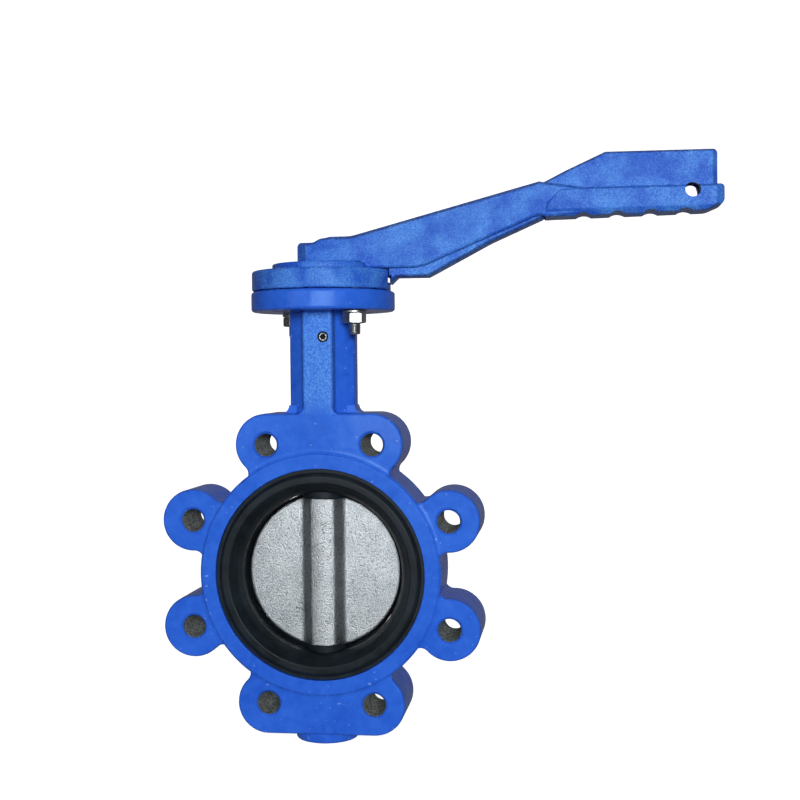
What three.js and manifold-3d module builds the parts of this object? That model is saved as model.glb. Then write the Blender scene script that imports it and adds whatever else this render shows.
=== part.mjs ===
// Lug-type butterfly valve, DN100 PN16, with a ten-position squeeze-trigger lever.
// Millimetres, +Z up the stem, pipe axis along Y, lever pointing to +X with the disc closed.
// The origin is where the stem axis crosses the pipe axis.
import * as THREE from 'three';
import { mergeVertices } from 'three/addons/utils/BufferGeometryUtils.js';
import Module from 'manifold-3d';

const wasm = await Module();
wasm.setup();

// ---------------------------------------------------------------- driving values

const GAP = 0.3; // running clearance between separate pieces
const CROSS_REACH = 20; // half length of a tool that cuts across the lever

// body casting
const LUG_CIRCLE_R = 90; // bolt circle radius, DN100 PN16
const LUG_COUNT = 8;
const LUG_R = 20;
const LUG_HALF_DEPTH = 23;
const BOLT_HOLE_R = 7;
const BOLT_CHAMFER = 0.7;
const DRUM_R = 78.2;
const DRUM_HALF_DEPTH = 24.5;
const VALLEY_FILLET_R = 6;
const VALLEY_R = 77;
const RING_FOOT_FILLET = 1.4;
const BODY_BORE_R = 58.5;
const LINER_RECESS_R = 67.9;
const LINER_RECESS_Y = 19;

// neck and feet
const NECK_HALF_WIDTH = 21.6;
const NECK_HALF_DEPTH = 10;
const NECK_CORNER_R = 4.5;
const PAD_HALF_WIDTH = 10;
const NECK_BOTTOM_Z = 66;
const FOOT_FILLET_R = 5;
const BOTTOM_BOSS_R = 20.4;
const BOTTOM_BOSS_Z = -109.7;

// stem line
const STEM_R = 8;
const STEM_BORE_R = 10.3;
const STEM_SQUARE = 11;
const STEM_EDGE = 1;
const STEM_TOP_Z = 205.2;
const SQUARE_FOOT_Z = 185;
const TAP_BOTTOM_Z = 184; // tapped hole for the lever bolt
const UPPER_STEM_FOOT_Z = 52;
const TANG_FOOT_Z = 15;
const LOWER_STEM_TOP_Z = -22;
const LOWER_STEM_FOOT_Z = -104;
const LOWER_BORE_Z = -105;

// top flange and notch plate
const FLANGE_R = 46.8;
const FLANGE_BOTTOM_Z = 168.7;
const FLANGE_TOP_Z = 181.7;
const FLANGE_BOLT_R = 35; // ISO 5211 F07 bolt circle radius
const FLANGE_HOLE_R = 4.5;
const PLATE_R = 46.3;
const PLATE_BOTTOM_Z = FLANGE_TOP_Z + 0.4;
const PLATE_TOP_Z = 195;
const SECTOR_R = 33;
const SECTOR_TOP_Z = 199.7;
const SEAT_R = 21;
const STOP_FACE = 13;
const NOTCH_COUNT = 10;
const NOTCH_WIDTH = 5;
const NOTCH_ROOT_R = 38;
const NOTCH_FLOOR_Z = 190;
const NOTCHED_RIM_R = 42; // the rim is turned down where the trigger's heel runs
const NOTCHED_FOOT_R = 44.2; // and a little less at its foot
const NOTCHED_FOOT_Z = 187;
const NOTCHED_MARGIN = 15.5; // degrees that this goes past the first and the last notch

// seat liner and disc
const LINER_BORE_R = 52;
const LINER_FACE_Y = 26;
const DISC_R = 51.7;
const DISC_HALF_THICKNESS = 6;
const DISC_CAST_R = 49.6; // the cast face ends here, and the turned bevel starts
const DISC_EDGE_HALF = 4.8;
const DISC_BEVEL_R = 51.2;
const DISC_RIM_HALF = 2.4;
const DISC_BOSS_HALF_WIDTH = 15.4;
const DISC_BOSS_HEIGHT = 13.5;
const DISC_BOSS_CROWN = 7.4; // half width of its flattest part
const DISC_HUB_R = 14.6; // round flats at the boss's ends, which turn on the liner's pads
const DISC_HUB_END_Z = 47.3;

// lock screw in the neck
const LOCK_SCREW_X = 3.8;
const LOCK_SCREW_Z = 152;
const LOCK_SCREW_R = 3;

// fasteners, M8
const M8_R = 4;
const M8_EDGE = 0.8;
const NUT_ACROSS_FLATS = 13;
const NUT_HEIGHT = 6.5;
const NUT_TURN = 16; // degrees
const NUT_TOP_Z = 166.8;
const WASHER_HOLE_R = 4.25;
const WASHER_R = 8;
const WASHER_THICKNESS = 1.5;
const STUD_ANGLES = { front: -45, rear: 135 };
const STUD_FOOT_Z = 153.2;
const STUD_TOP_Z = 190.5;
const STUD_BORE_TOP_Z = 191;

// lever casting
const ARM_HALF_WIDTH = 12.6;
const GRIP_HALF_WIDTH = 13.8;
const CAVITY_HALF_WIDTH = 9.2;
const HUB_BACK_X = -16;
const HUB_BACK_HALF_WIDTH = 5; // the hub's back corners are bevelled down to this
const HUB_BEVEL_X = -8;
const HUB_BOTTOM_Z = 200;
const HUB_STEP_Z = 213.4;
const HUB_TOP_Z = 217;
const SPIGOT_R = 9.6; // the hub goes down into the notch plate
const SPIGOT_BOTTOM_Z = 185.5;
const HUB_SEAT_R = 10.6; // counterbore for the lever bolt
const HUB_SEAT_Z = 205.8;
const LEVER_WASHER_R = 9;
const LEVER_BOLT_SEAT_Z = 207.6;
const LEVER_BOLT_HEAD = 5.3;
const LEVER_BOLT_END_Z = 187;
const ARM_TOP_END = { x: 141.6, z: 248.9 };
const ROOF_THICKNESS = 4.5;
const GRIP_END_X = 255.8;
const CAVITY_END_X = 253;
const GRIP_TOP_Z = 244;
const GRIP_BOTTOM_Z = 226; // at its front end
const GRIP_BOTTOM_SLOPE = 0.019;
const GRIP_FLOOR_Z = 232.5;
const SCALLOP_R = 7.5;
const SCALLOP_DEPTH = 1.7;
const SCALLOP_PITCH = 21;
const SCALLOP_FIRST_X = 168.9;
const PADLOCK = { x: 236.1, z: 240.8, r: 4.8 };

// trigger
const PIVOT = { x: 141, z: 237, r: 3, bore: 11.1 }; // bore: how far its hole goes towards the front
const TRIGGER_HALF_WIDTH = 8.6;
const TRIGGER_WALL = 3;
const TRIGGER_TIP_X = 38.5;
const TRIGGER_END_X = 251.7;
const HEEL_X = 43.4; // the part of the trigger that hangs over the plate's rim
const HEEL_FOOT_X = 45;
const HEEL_FOOT_Z = 185.8;
const BAR_BOTTOM_Z = 190.1;
const TOOTH_HALF_WIDTH = 1.9;
const TOOTH_TIP_Z = PLATE_TOP_Z + 0.5;
const PALM_UNDERSIDE_Z = 262.6;

// return spring under the trigger
const SPRING = { x: 205, coilR: 4.2, wireR: 0.7, turns: 6 };

const LARGE_ROUND = 64; // segments round a large circle
const ROUND = 48; // segments round a middling circle
const STEM_ROUND = 32; // segments round the stem and what fits it
const SMALL_ROUND = 20; // segments round a small circle
const HOLE_ROUND = 16; // segments round a small hole

// ---------------------------------------------------------------- materials

function paint(color, roughness) {
  return new THREE.MeshStandardMaterial({ color, roughness, metalness: 0 });
}

function metal(color, roughness) {
  return new THREE.MeshStandardMaterial({ color, roughness, metalness: 1 });
}

const bluePaint = () => paint('#2c5ac0', 0.3);
const castBluePaint = () => paint('#3f74c8', 0.5);
const rubber = () => paint('#16181a', 0.6);
const castSteel = () => metal('#b9bfc4', 0.45);
const stemSteel = () => metal('#a9adb1', 0.28);
const zincSteel = () => metal('#c2c5c4', 0.32);
const springSteel = () => metal('#8d9196', 0.3);
const bronze = () => metal('#b08d57', 0.4);

// ---------------------------------------------------------------- solid helpers

function toSolid(geometry) {
  const plain = geometry.clone();
  plain.deleteAttribute('normal');
  plain.deleteAttribute('uv');
  const merged = mergeVertices(plain, 1e-4);
  const mesh = new wasm.Mesh({
    numProp: 3,
    vertProperties: new Float32Array(merged.attributes.position.array),
    triVerts: new Uint32Array(merged.index.array),
  });
  return new wasm.Manifold(mesh);
}

function toGeometry(solid) {
  const mesh = solid.getMesh();
  const geometry = new THREE.BufferGeometry();
  geometry.setAttribute('position', new THREE.BufferAttribute(mesh.vertProperties, 3));
  geometry.setIndex(new THREE.BufferAttribute(mesh.triVerts, 1));
  geometry.computeVertexNormals();
  return geometry;
}

function unite(solids) {
  return solids.reduce((whole, solid) => whole.add(solid));
}

function cut(solid, tools) {
  return tools.reduce((left, tool) => left.subtract(tool), solid);
}

// A polygon whose corners [x, y, radius] are rounded by their own radius.
function roundedShape(corners) {
  const shape = new THREE.Shape();
  const count = corners.length;
  corners.forEach(([x, y, radius = 0], i) => {
    const corner = new THREE.Vector2(x, y);
    const before = new THREE.Vector2(...corners[(i + count - 1) % count].slice(0, 2));
    const after = new THREE.Vector2(...corners[(i + 1) % count].slice(0, 2));
    const toBefore = before.sub(corner).normalize();
    const toAfter = after.sub(corner).normalize();
    const halfAngle = Math.acos(THREE.MathUtils.clamp(toBefore.dot(toAfter), -1, 1)) / 2;
    const setBack = radius / Math.tan(halfAngle);
    const start = corner.clone().addScaledVector(toBefore, setBack);
    const end = corner.clone().addScaledVector(toAfter, setBack);
    if (i === 0) shape.moveTo(start.x, start.y);
    else shape.lineTo(start.x, start.y);
    if (radius > 0) addArc(shape, start, end, corner, radius);
  });
  shape.closePath();
  return shape;
}

// The arc of a rounded corner, as short chords from start to end.
function addArc(shape, start, end, corner, radius) {
  const middle = start.clone().add(end).multiplyScalar(0.5);
  const inward = middle.clone().sub(corner).normalize();
  const halfChord = start.distanceTo(end) / 2;
  const centre = middle.addScaledVector(inward, Math.sqrt(Math.max(radius ** 2 - halfChord ** 2, 0)));
  const from = Math.atan2(start.y - centre.y, start.x - centre.x);
  let sweep = Math.atan2(end.y - centre.y, end.x - centre.x) - from;
  if (sweep > Math.PI) sweep -= 2 * Math.PI;
  if (sweep < -Math.PI) sweep += 2 * Math.PI;
  const steps = Math.max(2, Math.ceil(Math.abs(sweep) / 0.35));
  for (let i = 1; i <= steps; i += 1) {
    const angle = from + (sweep * i) / steps;
    shape.lineTo(centre.x + radius * Math.cos(angle), centre.y + radius * Math.sin(angle));
  }
}

function extrude(shape, depth, bevel = 0) {
  return new THREE.ExtrudeGeometry(shape, {
    depth: depth - 2 * bevel,
    bevelEnabled: bevel > 0,
    bevelThickness: bevel,
    bevelSize: bevel,
    bevelOffset: -bevel,
    bevelSegments: 2,
    curveSegments: 6,
  }).translate(0, 0, bevel);
}

// A side-view shape (x, z) given depth along Y, centred on the lever plane unless y0 is given.
function sideSlab(shape, halfDepth, bevel = 0) {
  const geometry = extrude(shape, 2 * halfDepth, bevel);
  geometry.translate(0, 0, -halfDepth);
  geometry.rotateX(Math.PI / 2);
  return toSolid(geometry);
}

// A plan shape (x, y) given height along Z.
function planSlab(shape, z0, z1) {
  return toSolid(extrude(shape, z1 - z0).translate(0, 0, z0));
}

// A cross-section (y, z) given length along X.
function crossSlab(shape, x0, x1) {
  const geometry = extrude(shape, x1 - x0);
  geometry.rotateX(Math.PI / 2);
  geometry.rotateZ(Math.PI / 2);
  geometry.translate(x0, 0, 0);
  return toSolid(geometry);
}

// A turned solid about Z; the profile is [radius, z] from bottom to top.
function turned(profile, segments = ROUND) {
  const points = profile.map(([r, z]) => new THREE.Vector2(r, z));
  return toSolid(new THREE.LatheGeometry(points, segments).rotateX(Math.PI / 2));
}

function cylinder(radius, z0, z1, segments = SMALL_ROUND) {
  return turned([[0, z0], [radius, z0], [radius, z1], [0, z1]], segments);
}

function ring(innerR, outerR, z0, z1, segments = SMALL_ROUND) {
  return turned([[innerR, z0], [outerR, z0], [outerR, z1], [innerR, z1], [innerR, z0]], segments);
}

function box(x0, x1, y0, y1, z0, z1) {
  const geometry = new THREE.BoxGeometry(x1 - x0, y1 - y0, z1 - z0);
  geometry.translate((x0 + x1) / 2, (y0 + y1) / 2, (z0 + z1) / 2);
  return toSolid(geometry);
}

function hexagon(acrossFlats) {
  const cornerR = acrossFlats / Math.sqrt(3);
  const corners = [0, 1, 2, 3, 4, 5].map((i) => {
    const angle = (i * Math.PI) / 3;
    return [cornerR * Math.cos(angle), cornerR * Math.sin(angle)];
  });
  return roundedShape(corners);
}

const alongY = [90, 0, 0]; // turns a solid made about Z to lie along the pipe axis

// ---------------------------------------------------------------- body casting

function lugAngles() {
  const step = 360 / LUG_COUNT;
  return Array.from({ length: LUG_COUNT }, (_, i) => (i + 0.5) * step);
}

// Chords along an arc about (cx, cy); direction is 1 anticlockwise or -1 clockwise.
function arc(shape, cx, cy, radius, from, to, direction) {
  const turn = 2 * Math.PI;
  const sweep = direction * ((((to - from) * direction) % turn) + turn) % turn;
  const chord = radius > 10 ? 0.24 : 0.5;
  const steps = Math.ceil(Math.abs(sweep) / chord);
  for (let i = 0; i <= steps; i += 1) {
    const angle = from + (sweep * i) / steps;
    const x = cx + radius * Math.cos(angle);
    const y = cy + radius * Math.sin(angle);
    const first = shape.curves.length === 0 && shape.currentPoint.lengthSq() === 0;
    if (first) shape.moveTo(x, y);
    else if (shape.currentPoint.distanceTo(new THREE.Vector2(x, y)) > 0.01) shape.lineTo(x, y);
  }
}

function polar(radius, degrees) {
  const angle = THREE.MathUtils.degToRad(degrees);
  return [radius * Math.cos(angle), radius * Math.sin(angle)];
}

// Outline of the lugs: eight rounded ears, filleted down to the drum in the valleys between them,
// but joined by a straight edge across the top pair and the bottom pair.
function lugOutline() {
  const shape = new THREE.Shape();
  const filletCentreR = VALLEY_R + VALLEY_FILLET_R;
  const cosine =
    (LUG_CIRCLE_R ** 2 + filletCentreR ** 2 - (LUG_R + VALLEY_FILLET_R) ** 2) /
    (2 * LUG_CIRCLE_R * filletCentreR);
  const filletAngle = THREE.MathUtils.radToDeg(Math.acos(cosine));
  const toRad = THREE.MathUtils.degToRad;
  lugAngles().forEach((lug) => {
    const [lx, ly] = polar(LUG_CIRCLE_R, lug);
    const [ax, ay] = polar(filletCentreR, lug - filletAngle);
    const [bx, by] = polar(filletCentreR, lug + filletAngle);
    const flatBefore = lug === 112.5 || lug === 292.5;
    const flatAfter = lug === 67.5 || lug === 247.5;
    const flat = lug < 180 ? toRad(90) : toRad(270);
    const start = flatBefore ? flat : Math.atan2(ay - ly, ax - lx);
    const end = flatAfter ? flat : Math.atan2(by - ly, bx - lx);
    if (!flatBefore) {
      arc(shape, ax, ay, VALLEY_FILLET_R, toRad(lug - filletAngle + 180), start + Math.PI, -1);
    }
    arc(shape, lx, ly, LUG_R, start, end, 1);
    if (!flatAfter) {
      arc(shape, bx, by, VALLEY_FILLET_R, end + Math.PI, toRad(lug + filletAngle + 180), -1);
    }
  });
  shape.closePath();
  return shape;
}

// A bolt hole with a small chamfer at each face.
function lugHole(degrees) {
  const face = LUG_HALF_DEPTH;
  const wide = BOLT_HOLE_R + BOLT_CHAMFER;
  const profile = [
    [0, -face - 1],
    [wide + 1, -face - 1],
    [BOLT_HOLE_R, -face + BOLT_CHAMFER],
    [BOLT_HOLE_R, face - BOLT_CHAMFER],
    [wide + 1, face + 1],
    [0, face + 1],
  ];
  const [x, z] = polar(LUG_CIRCLE_R, degrees);
  return turned(profile, HOLE_ROUND).rotate(alongY).translate([x, 0, z]);
}

// The concave fillet where the raised ring rises out of the lug faces.
function ringFoot(side) {
  const r = RING_FOOT_FILLET;
  const profile = [[DRUM_R - 1, LUG_HALF_DEPTH - 1]];
  profile.push([DRUM_R + r, LUG_HALF_DEPTH - 1]);
  for (let i = 0; i <= 2; i += 1) {
    const angle = (i * Math.PI) / 4;
    profile.push([DRUM_R + r - r * Math.sin(angle), LUG_HALF_DEPTH + r - r * Math.cos(angle)]);
  }
  profile.push([DRUM_R - 1, LUG_HALF_DEPTH + r]);
  profile.push(profile[0]);
  return turned(profile, LARGE_ROUND).rotate([side > 0 ? -90 : 90, 0, 0]);
}

function neckSection() {
  const w = NECK_HALF_WIDTH;
  const d = NECK_HALF_DEPTH;
  const p = PAD_HALF_WIDTH;
  const f = LUG_HALF_DEPTH;
  const c = NECK_CORNER_R;
  const quarter = [[w, -d, c], [p, -d, 2], [p, -f, 1.2]];
  const front = [...quarter, ...quarter.map(([x, y, r]) => [-x, y, r]).reverse()];
  const back = front.map(([x, y, r]) => [-x, -y, r]);
  return roundedShape([...front, ...back]);
}

// Fillet pieces between the straight edge of the top lugs and a wall standing on it.
function footFillet(halfWidth, radius, halfDepth) {
  const top = LUG_CIRCLE_R * Math.sin(THREE.MathUtils.degToRad(67.5)) + LUG_R;
  const w = halfWidth + radius;
  return sideSlab(
    roundedShape([
      [w, top - 2],
      [w, top],
      [halfWidth, top, radius],
      [halfWidth, top + radius],
      [-halfWidth, top + radius],
      [-halfWidth, top, radius],
      [-w, top],
      [-w, top - 2],
    ]),
    halfDepth,
  );
}

function topFlange() {
  const r = FLANGE_R;
  const e = 1.4;
  return turned([
    [0, FLANGE_BOTTOM_Z],
    [r - e, FLANGE_BOTTOM_Z],
    [r, FLANGE_BOTTOM_Z + e],
    [r, FLANGE_TOP_Z - e],
    [r - e, FLANGE_TOP_Z],
    [0, FLANGE_TOP_Z],
  ]);
}

function flangeHoles() {
  return [45, 135, 225, 315].map((degrees) => {
    const [x, y] = polar(FLANGE_BOLT_R, degrees);
    const hole = cylinder(FLANGE_HOLE_R, FLANGE_BOTTOM_Z - 1, FLANGE_TOP_Z + 1, HOLE_ROUND);
    return hole.translate([x, y, 0]);
  });
}

function makeBody() {
  const outline = lugOutline();
  const lugs = sideSlab(outline, LUG_HALF_DEPTH);
  const tallLugs = sideSlab(outline, LUG_HALF_DEPTH + 5);
  const drum = cylinder(DRUM_R, -DRUM_HALF_DEPTH, DRUM_HALF_DEPTH, LARGE_ROUND).rotate(alongY);
  const neck = planSlab(neckSection(), NECK_BOTTOM_Z, FLANGE_BOTTOM_Z + 1);
  const bossEdge = 1.5;
  const bottomBoss = turned([
    [0, BOTTOM_BOSS_Z],
    [BOTTOM_BOSS_R - bossEdge, BOTTOM_BOSS_Z],
    [BOTTOM_BOSS_R, BOTTOM_BOSS_Z + bossEdge],
    [BOTTOM_BOSS_R, -NECK_BOTTOM_Z],
    [0, -NECK_BOTTOM_Z],
  ]);
  const solid = unite([
    lugs,
    drum,
    ringFoot(1).intersect(tallLugs),
    ringFoot(-1).intersect(tallLugs),
    neck,
    footFillet(NECK_HALF_WIDTH, FOOT_FILLET_R, NECK_HALF_DEPTH - 1),
    footFillet(PAD_HALF_WIDTH, 2.5, LUG_HALF_DEPTH),
    bottomBoss,
    topFlange(),
  ]);
  const recessDepth = DRUM_HALF_DEPTH + 2;
  return cut(solid, [
    cylinder(BODY_BORE_R, -recessDepth, recessDepth, 32).rotate(alongY),
    cylinder(LINER_RECESS_R, LINER_RECESS_Y, recessDepth, ROUND).rotate(alongY),
    cylinder(LINER_RECESS_R, -recessDepth, -LINER_RECESS_Y, ROUND).rotate(alongY),
    cylinder(STEM_BORE_R, 0, FLANGE_TOP_Z + 1),
    cylinder(STEM_BORE_R, LOWER_BORE_Z, 0),
    cylinder(LOCK_SCREW_R + 0.25, 0, LUG_HALF_DEPTH + 1, HOLE_ROUND)
      .rotate(alongY)
      .translate([LOCK_SCREW_X, 0, LOCK_SCREW_Z]),
    ...flangeHoles(),
    ...lugAngles().map(lugHole),
  ]);
}

// ---------------------------------------------------------------- seat liner

// Rubber channel wrapped round the inside of the body, with a rounded sealing lip on each face
// and a round pad at each stem hole.
function makeSeatLiner() {
  const half = [
    [LINER_BORE_R, 14],
    [54, 19.5],
    [57, 24],
    [59, LINER_FACE_Y],
    [63.2, LINER_FACE_Y],
    [65.2, 24.6],
    [65.5, 22.4],
    [67.5, 22.4],
    [67.5, LINER_RECESS_Y + GAP],
    [BODY_BORE_R - GAP, LINER_RECESS_Y + GAP],
  ];
  const mirrored = half.map(([r, y]) => [r, -y]).reverse();
  const profile = [...half, ...mirrored, half[0]];
  const channel = turned(profile.reverse(), ROUND).rotate(alongY);
  const padR = DISC_HUB_R - GAP;
  const padFace = DISC_HUB_END_Z + GAP;
  const padRoot = LINER_BORE_R + 3;
  const pads = [
    cylinder(padR, padFace, padRoot),
    cylinder(padR, -padRoot, -padFace),
  ];
  return cut(unite([channel, ...pads]), [cylinder(STEM_R + GAP, -70, 70)]);
}

// ---------------------------------------------------------------- disc and stems

// Cast faces, a turned bevel round each, and the spherical rim that seals in the rubber.
function discProfile() {
  const step = 0.4;
  const face = [
    [0, DISC_HALF_THICKNESS],
    [DISC_CAST_R, DISC_EDGE_HALF],
    [DISC_CAST_R, DISC_EDGE_HALF - step],
    [DISC_BEVEL_R, DISC_RIM_HALF],
  ];
  const profile = face.map(([r, y]) => [r, -y]);
  for (let i = -2; i <= 2; i += 1) {
    const y = (i * (DISC_RIM_HALF - step)) / 2;
    profile.push([Math.sqrt(DISC_R ** 2 - y ** 2), y]);
  }
  return [...profile, ...face.reverse()];
}

// Cross-section of the boss down the middle of the disc, blended into both faces.
function discBossSection() {
  const w = DISC_BOSS_HALF_WIDTH;
  const h = DISC_BOSS_HEIGHT;
  const face = DISC_EDGE_HALF;
  const foot = { x: 11.6, y: face + 1.1, radius: 6 };
  const shoulder = { x: DISC_BOSS_CROWN + 1.6, radius: 6 };
  const quarter = [
    [w, face],
    [foot.x, foot.y, foot.radius],
    [shoulder.x, h, shoulder.radius],
  ];
  const rear = [...quarter, ...quarter.map(([x, y, r]) => [-x, y, r]).reverse()];
  const front = rear.map(([x, y, r]) => [-x, -y, r]);
  return roundedShape([...rear, ...front]);
}

function discEnvelope() {
  const profile = [];
  for (let i = 0; i <= 16; i += 1) {
    const angle = -Math.PI / 2 + (i * Math.PI) / 16;
    profile.push([Math.max(DISC_R * Math.cos(angle), 0), DISC_R * Math.sin(angle)]);
  }
  profile[0][0] = 0;
  profile[16][0] = 0;
  return turned(profile, ROUND).rotate(alongY);
}

function makeDisc() {
  const plate = turned(discProfile(), ROUND).rotate(alongY);
  const boss = planSlab(discBossSection(), -DISC_R, DISC_R).intersect(discEnvelope());
  const socket = STEM_SQUARE / 2 + GAP;
  return cut(plate.add(boss), [
    box(-socket, socket, -socket, socket, TANG_FOOT_Z - 1, DISC_R + 2),
    cylinder(STEM_R + GAP, -DISC_R - 2, LOWER_STEM_TOP_Z + 1),
    cylinder(DISC_HUB_R, DISC_HUB_END_Z, DISC_R + 2),
    cylinder(DISC_HUB_R, -DISC_R - 2, -DISC_HUB_END_Z),
  ]);
}

// Round shaft with a groove for the lock screw, a square tang for the disc and one for the lever.
function makeUpperStem() {
  const half = STEM_SQUARE / 2;
  const grooveHalf = 2.2;
  const grooveDepth = 1;
  const grooveSlope = 0.4;
  const shaft = turned(
    [
      [0, UPPER_STEM_FOOT_Z],
      [STEM_R, UPPER_STEM_FOOT_Z],
      [STEM_R, LOCK_SCREW_Z - grooveHalf - grooveSlope],
      [STEM_R - grooveDepth, LOCK_SCREW_Z - grooveHalf],
      [STEM_R - grooveDepth, LOCK_SCREW_Z + grooveHalf],
      [STEM_R, LOCK_SCREW_Z + grooveHalf + grooveSlope],
      [STEM_R, SQUARE_FOOT_Z - STEM_EDGE],
      [STEM_R - STEM_EDGE, SQUARE_FOOT_Z],
      [0, SQUARE_FOOT_Z],
    ],
    STEM_ROUND,
  );
  const tang = box(-half, half, -half, half, TANG_FOOT_Z, UPPER_STEM_FOOT_Z + 1);
  const drive = box(-half, half, -half, half, SQUARE_FOOT_Z - 1, STEM_TOP_Z);
  const tapped = cylinder(M8_R + 0.2, TAP_BOTTOM_Z, STEM_TOP_Z + 1);
  return cut(unite([shaft, tang, drive]), [tapped]);
}

function makeLowerStem() {
  return turned(
    [
      [0, LOWER_STEM_FOOT_Z],
      [STEM_R - STEM_EDGE, LOWER_STEM_FOOT_Z],
      [STEM_R, LOWER_STEM_FOOT_Z + STEM_EDGE],
      [STEM_R, LOWER_STEM_TOP_Z - STEM_EDGE],
      [STEM_R - STEM_EDGE, LOWER_STEM_TOP_Z],
      [0, LOWER_STEM_TOP_Z],
    ],
    STEM_ROUND,
  );
}

function makeBushing(z0, z1) {
  return ring(STEM_R + 0.2, STEM_BORE_R - 0.2, z0, z1, STEM_ROUND);
}

function makeORing(z) {
  const tube = 0.9;
  const middle = (STEM_R + STEM_BORE_R) / 2;
  const profile = [];
  for (let i = 0; i <= 6; i += 1) {
    const angle = (i * Math.PI) / 3;
    profile.push([middle + tube * Math.cos(angle), z + tube * Math.sin(angle)]);
  }
  profile[6] = profile[0];
  return turned(profile, 24);
}

// Socket set screw whose small point sits in the groove of the upper stem.
function makeLockScrew() {
  const outerFace = LUG_HALF_DEPTH - 0.4;
  const shoulder = 10.8;
  const profile = [
    [0, 7],
    [1.6, 7],
    [1.6, shoulder],
    [LOCK_SCREW_R - 0.5, shoulder],
    [LOCK_SCREW_R, shoulder + 0.5],
    [LOCK_SCREW_R, outerFace - 0.5],
    [LOCK_SCREW_R - 0.5, outerFace],
    [0, outerFace],
  ];
  const socket = planSlab(hexagon(3), outerFace - 3, outerFace + 1);
  return turned(profile, SMALL_ROUND)
    .subtract(socket)
    .rotate(alongY)
    .translate([LOCK_SCREW_X, 0, LOCK_SCREW_Z]);
}

// ---------------------------------------------------------------- notch plate and its bolts

function notch(index) {
  const step = 90 / (NOTCH_COUNT - 1);
  const tool = box(
    NOTCH_ROOT_R,
    PLATE_R + 2,
    -NOTCH_WIDTH / 2,
    NOTCH_WIDTH / 2,
    NOTCH_FLOOR_Z,
    PLATE_TOP_Z + 1,
  );
  return tool.rotate([0, 0, index * step]);
}

function makeNotchPlate() {
  const r = PLATE_R;
  const e = 1;
  const plate = turned([
    [0, PLATE_BOTTOM_Z],
    [r - e, PLATE_BOTTOM_Z],
    [r, PLATE_BOTTOM_Z + e],
    [r, PLATE_TOP_Z - e],
    [r - e, PLATE_TOP_Z],
    [0, PLATE_TOP_Z],
  ]);
  const sector = cylinder(SECTOR_R, PLATE_TOP_Z - 1, SECTOR_TOP_Z, ROUND).subtract(
    box(-STOP_FACE, 60, -STOP_FACE, 60, PLATE_TOP_Z - 2, SECTOR_TOP_Z + 1),
  );
  const seat = cylinder(SEAT_R, PLATE_TOP_Z - 1, SECTOR_TOP_Z, 32);
  const studBores = Object.values(STUD_ANGLES).map((degrees) => {
    const [x, y] = polar(FLANGE_BOLT_R, degrees);
    return cylinder(M8_R + 0.2, PLATE_BOTTOM_Z - 1, STUD_BORE_TOP_Z).translate([x, y, 0]);
  });
  const notches = Array.from({ length: NOTCH_COUNT }, (_, i) => notch(i));
  return cut(unite([plate, sector, seat]), [
    cylinder(SPIGOT_R + 0.4, PLATE_BOTTOM_Z - 1, SECTOR_TOP_Z + 1, STEM_ROUND),
    turnedDownRim(),
    ...studBores,
    ...notches,
  ]);
}

// What is taken off the rim where the trigger's heel runs, a little past the outermost notches.
function turnedDownRim() {
  const reach = 2 * PLATE_R;
  const from = -NOTCHED_MARGIN;
  const to = 90 + NOTCHED_MARGIN;
  const corners = [[0, 0], ...[from, (from + to) / 2, to].map((degrees) => polar(reach, degrees))];
  return cut(planSlab(roundedShape(corners), PLATE_BOTTOM_Z - 1, PLATE_TOP_Z + 1), [
    cylinder(NOTCHED_RIM_R, PLATE_BOTTOM_Z - 2, PLATE_TOP_Z + 2, LARGE_ROUND),
    cylinder(NOTCHED_FOOT_R, PLATE_BOTTOM_Z - 2, NOTCHED_FOOT_Z, LARGE_ROUND),
  ]);
}

// Stud screwed into the notch plate from below.
function makeStud() {
  return turned(
    [
      [0, STUD_FOOT_Z],
      [M8_R - M8_EDGE, STUD_FOOT_Z],
      [M8_R, STUD_FOOT_Z + M8_EDGE],
      [M8_R, STUD_TOP_Z - M8_EDGE],
      [M8_R - M8_EDGE, STUD_TOP_Z],
      [0, STUD_TOP_Z],
    ],
    SMALL_ROUND,
  );
}

// Hexagon whose corners are chamfered at the top, and at the bottom too for a nut.
function chamferedHexagon(z0, z1, bothEnds) {
  const r = NUT_ACROSS_FLATS / 2;
  const corner = NUT_ACROSS_FLATS / Math.sqrt(3) + 0.1;
  const slope = (corner - r) * 0.6;
  const foot = bothEnds ? [[0, z0], [r, z0], [corner, z0 + slope]] : [[0, z0], [corner, z0]];
  const envelope = turned([...foot, [corner, z1 - slope], [r, z1], [0, z1]], SMALL_ROUND);
  return planSlab(hexagon(NUT_ACROSS_FLATS), z0, z1).intersect(envelope);
}

function makeNut() {
  const foot = NUT_TOP_Z - NUT_HEIGHT;
  return chamferedHexagon(foot, NUT_TOP_Z, true)
    .subtract(cylinder(M8_R + 0.15, foot - 1, NUT_TOP_Z + 1))
    .rotate([0, 0, NUT_TURN]);
}

// ---------------------------------------------------------------- lever

// Side view of the hub and arm, from the stem to the front of the grip.
function armOutline() {
  return roundedShape([
    [HUB_BACK_X, HUB_BOTTOM_Z],
    [HUB_BACK_X, HUB_STEP_Z],
    [-5.5, HUB_STEP_Z, 2.5],
    [-0.5, HUB_TOP_Z, 3],
    [20, HUB_TOP_Z, 25],
    [ARM_TOP_END.x, ARM_TOP_END.z],
    [176, 243.6],
    [176, 228],
    [146, 226],
    [141.6, 227.8, 10],
    [69, 197.4, 12],
    [63, 195.9, 6],
    [26, 195.9],
    [26, HUB_BOTTOM_Z],
  ]);
}

function gripBottom(x) {
  return GRIP_BOTTOM_Z + (x - 144.2) * GRIP_BOTTOM_SLOPE;
}

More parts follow.
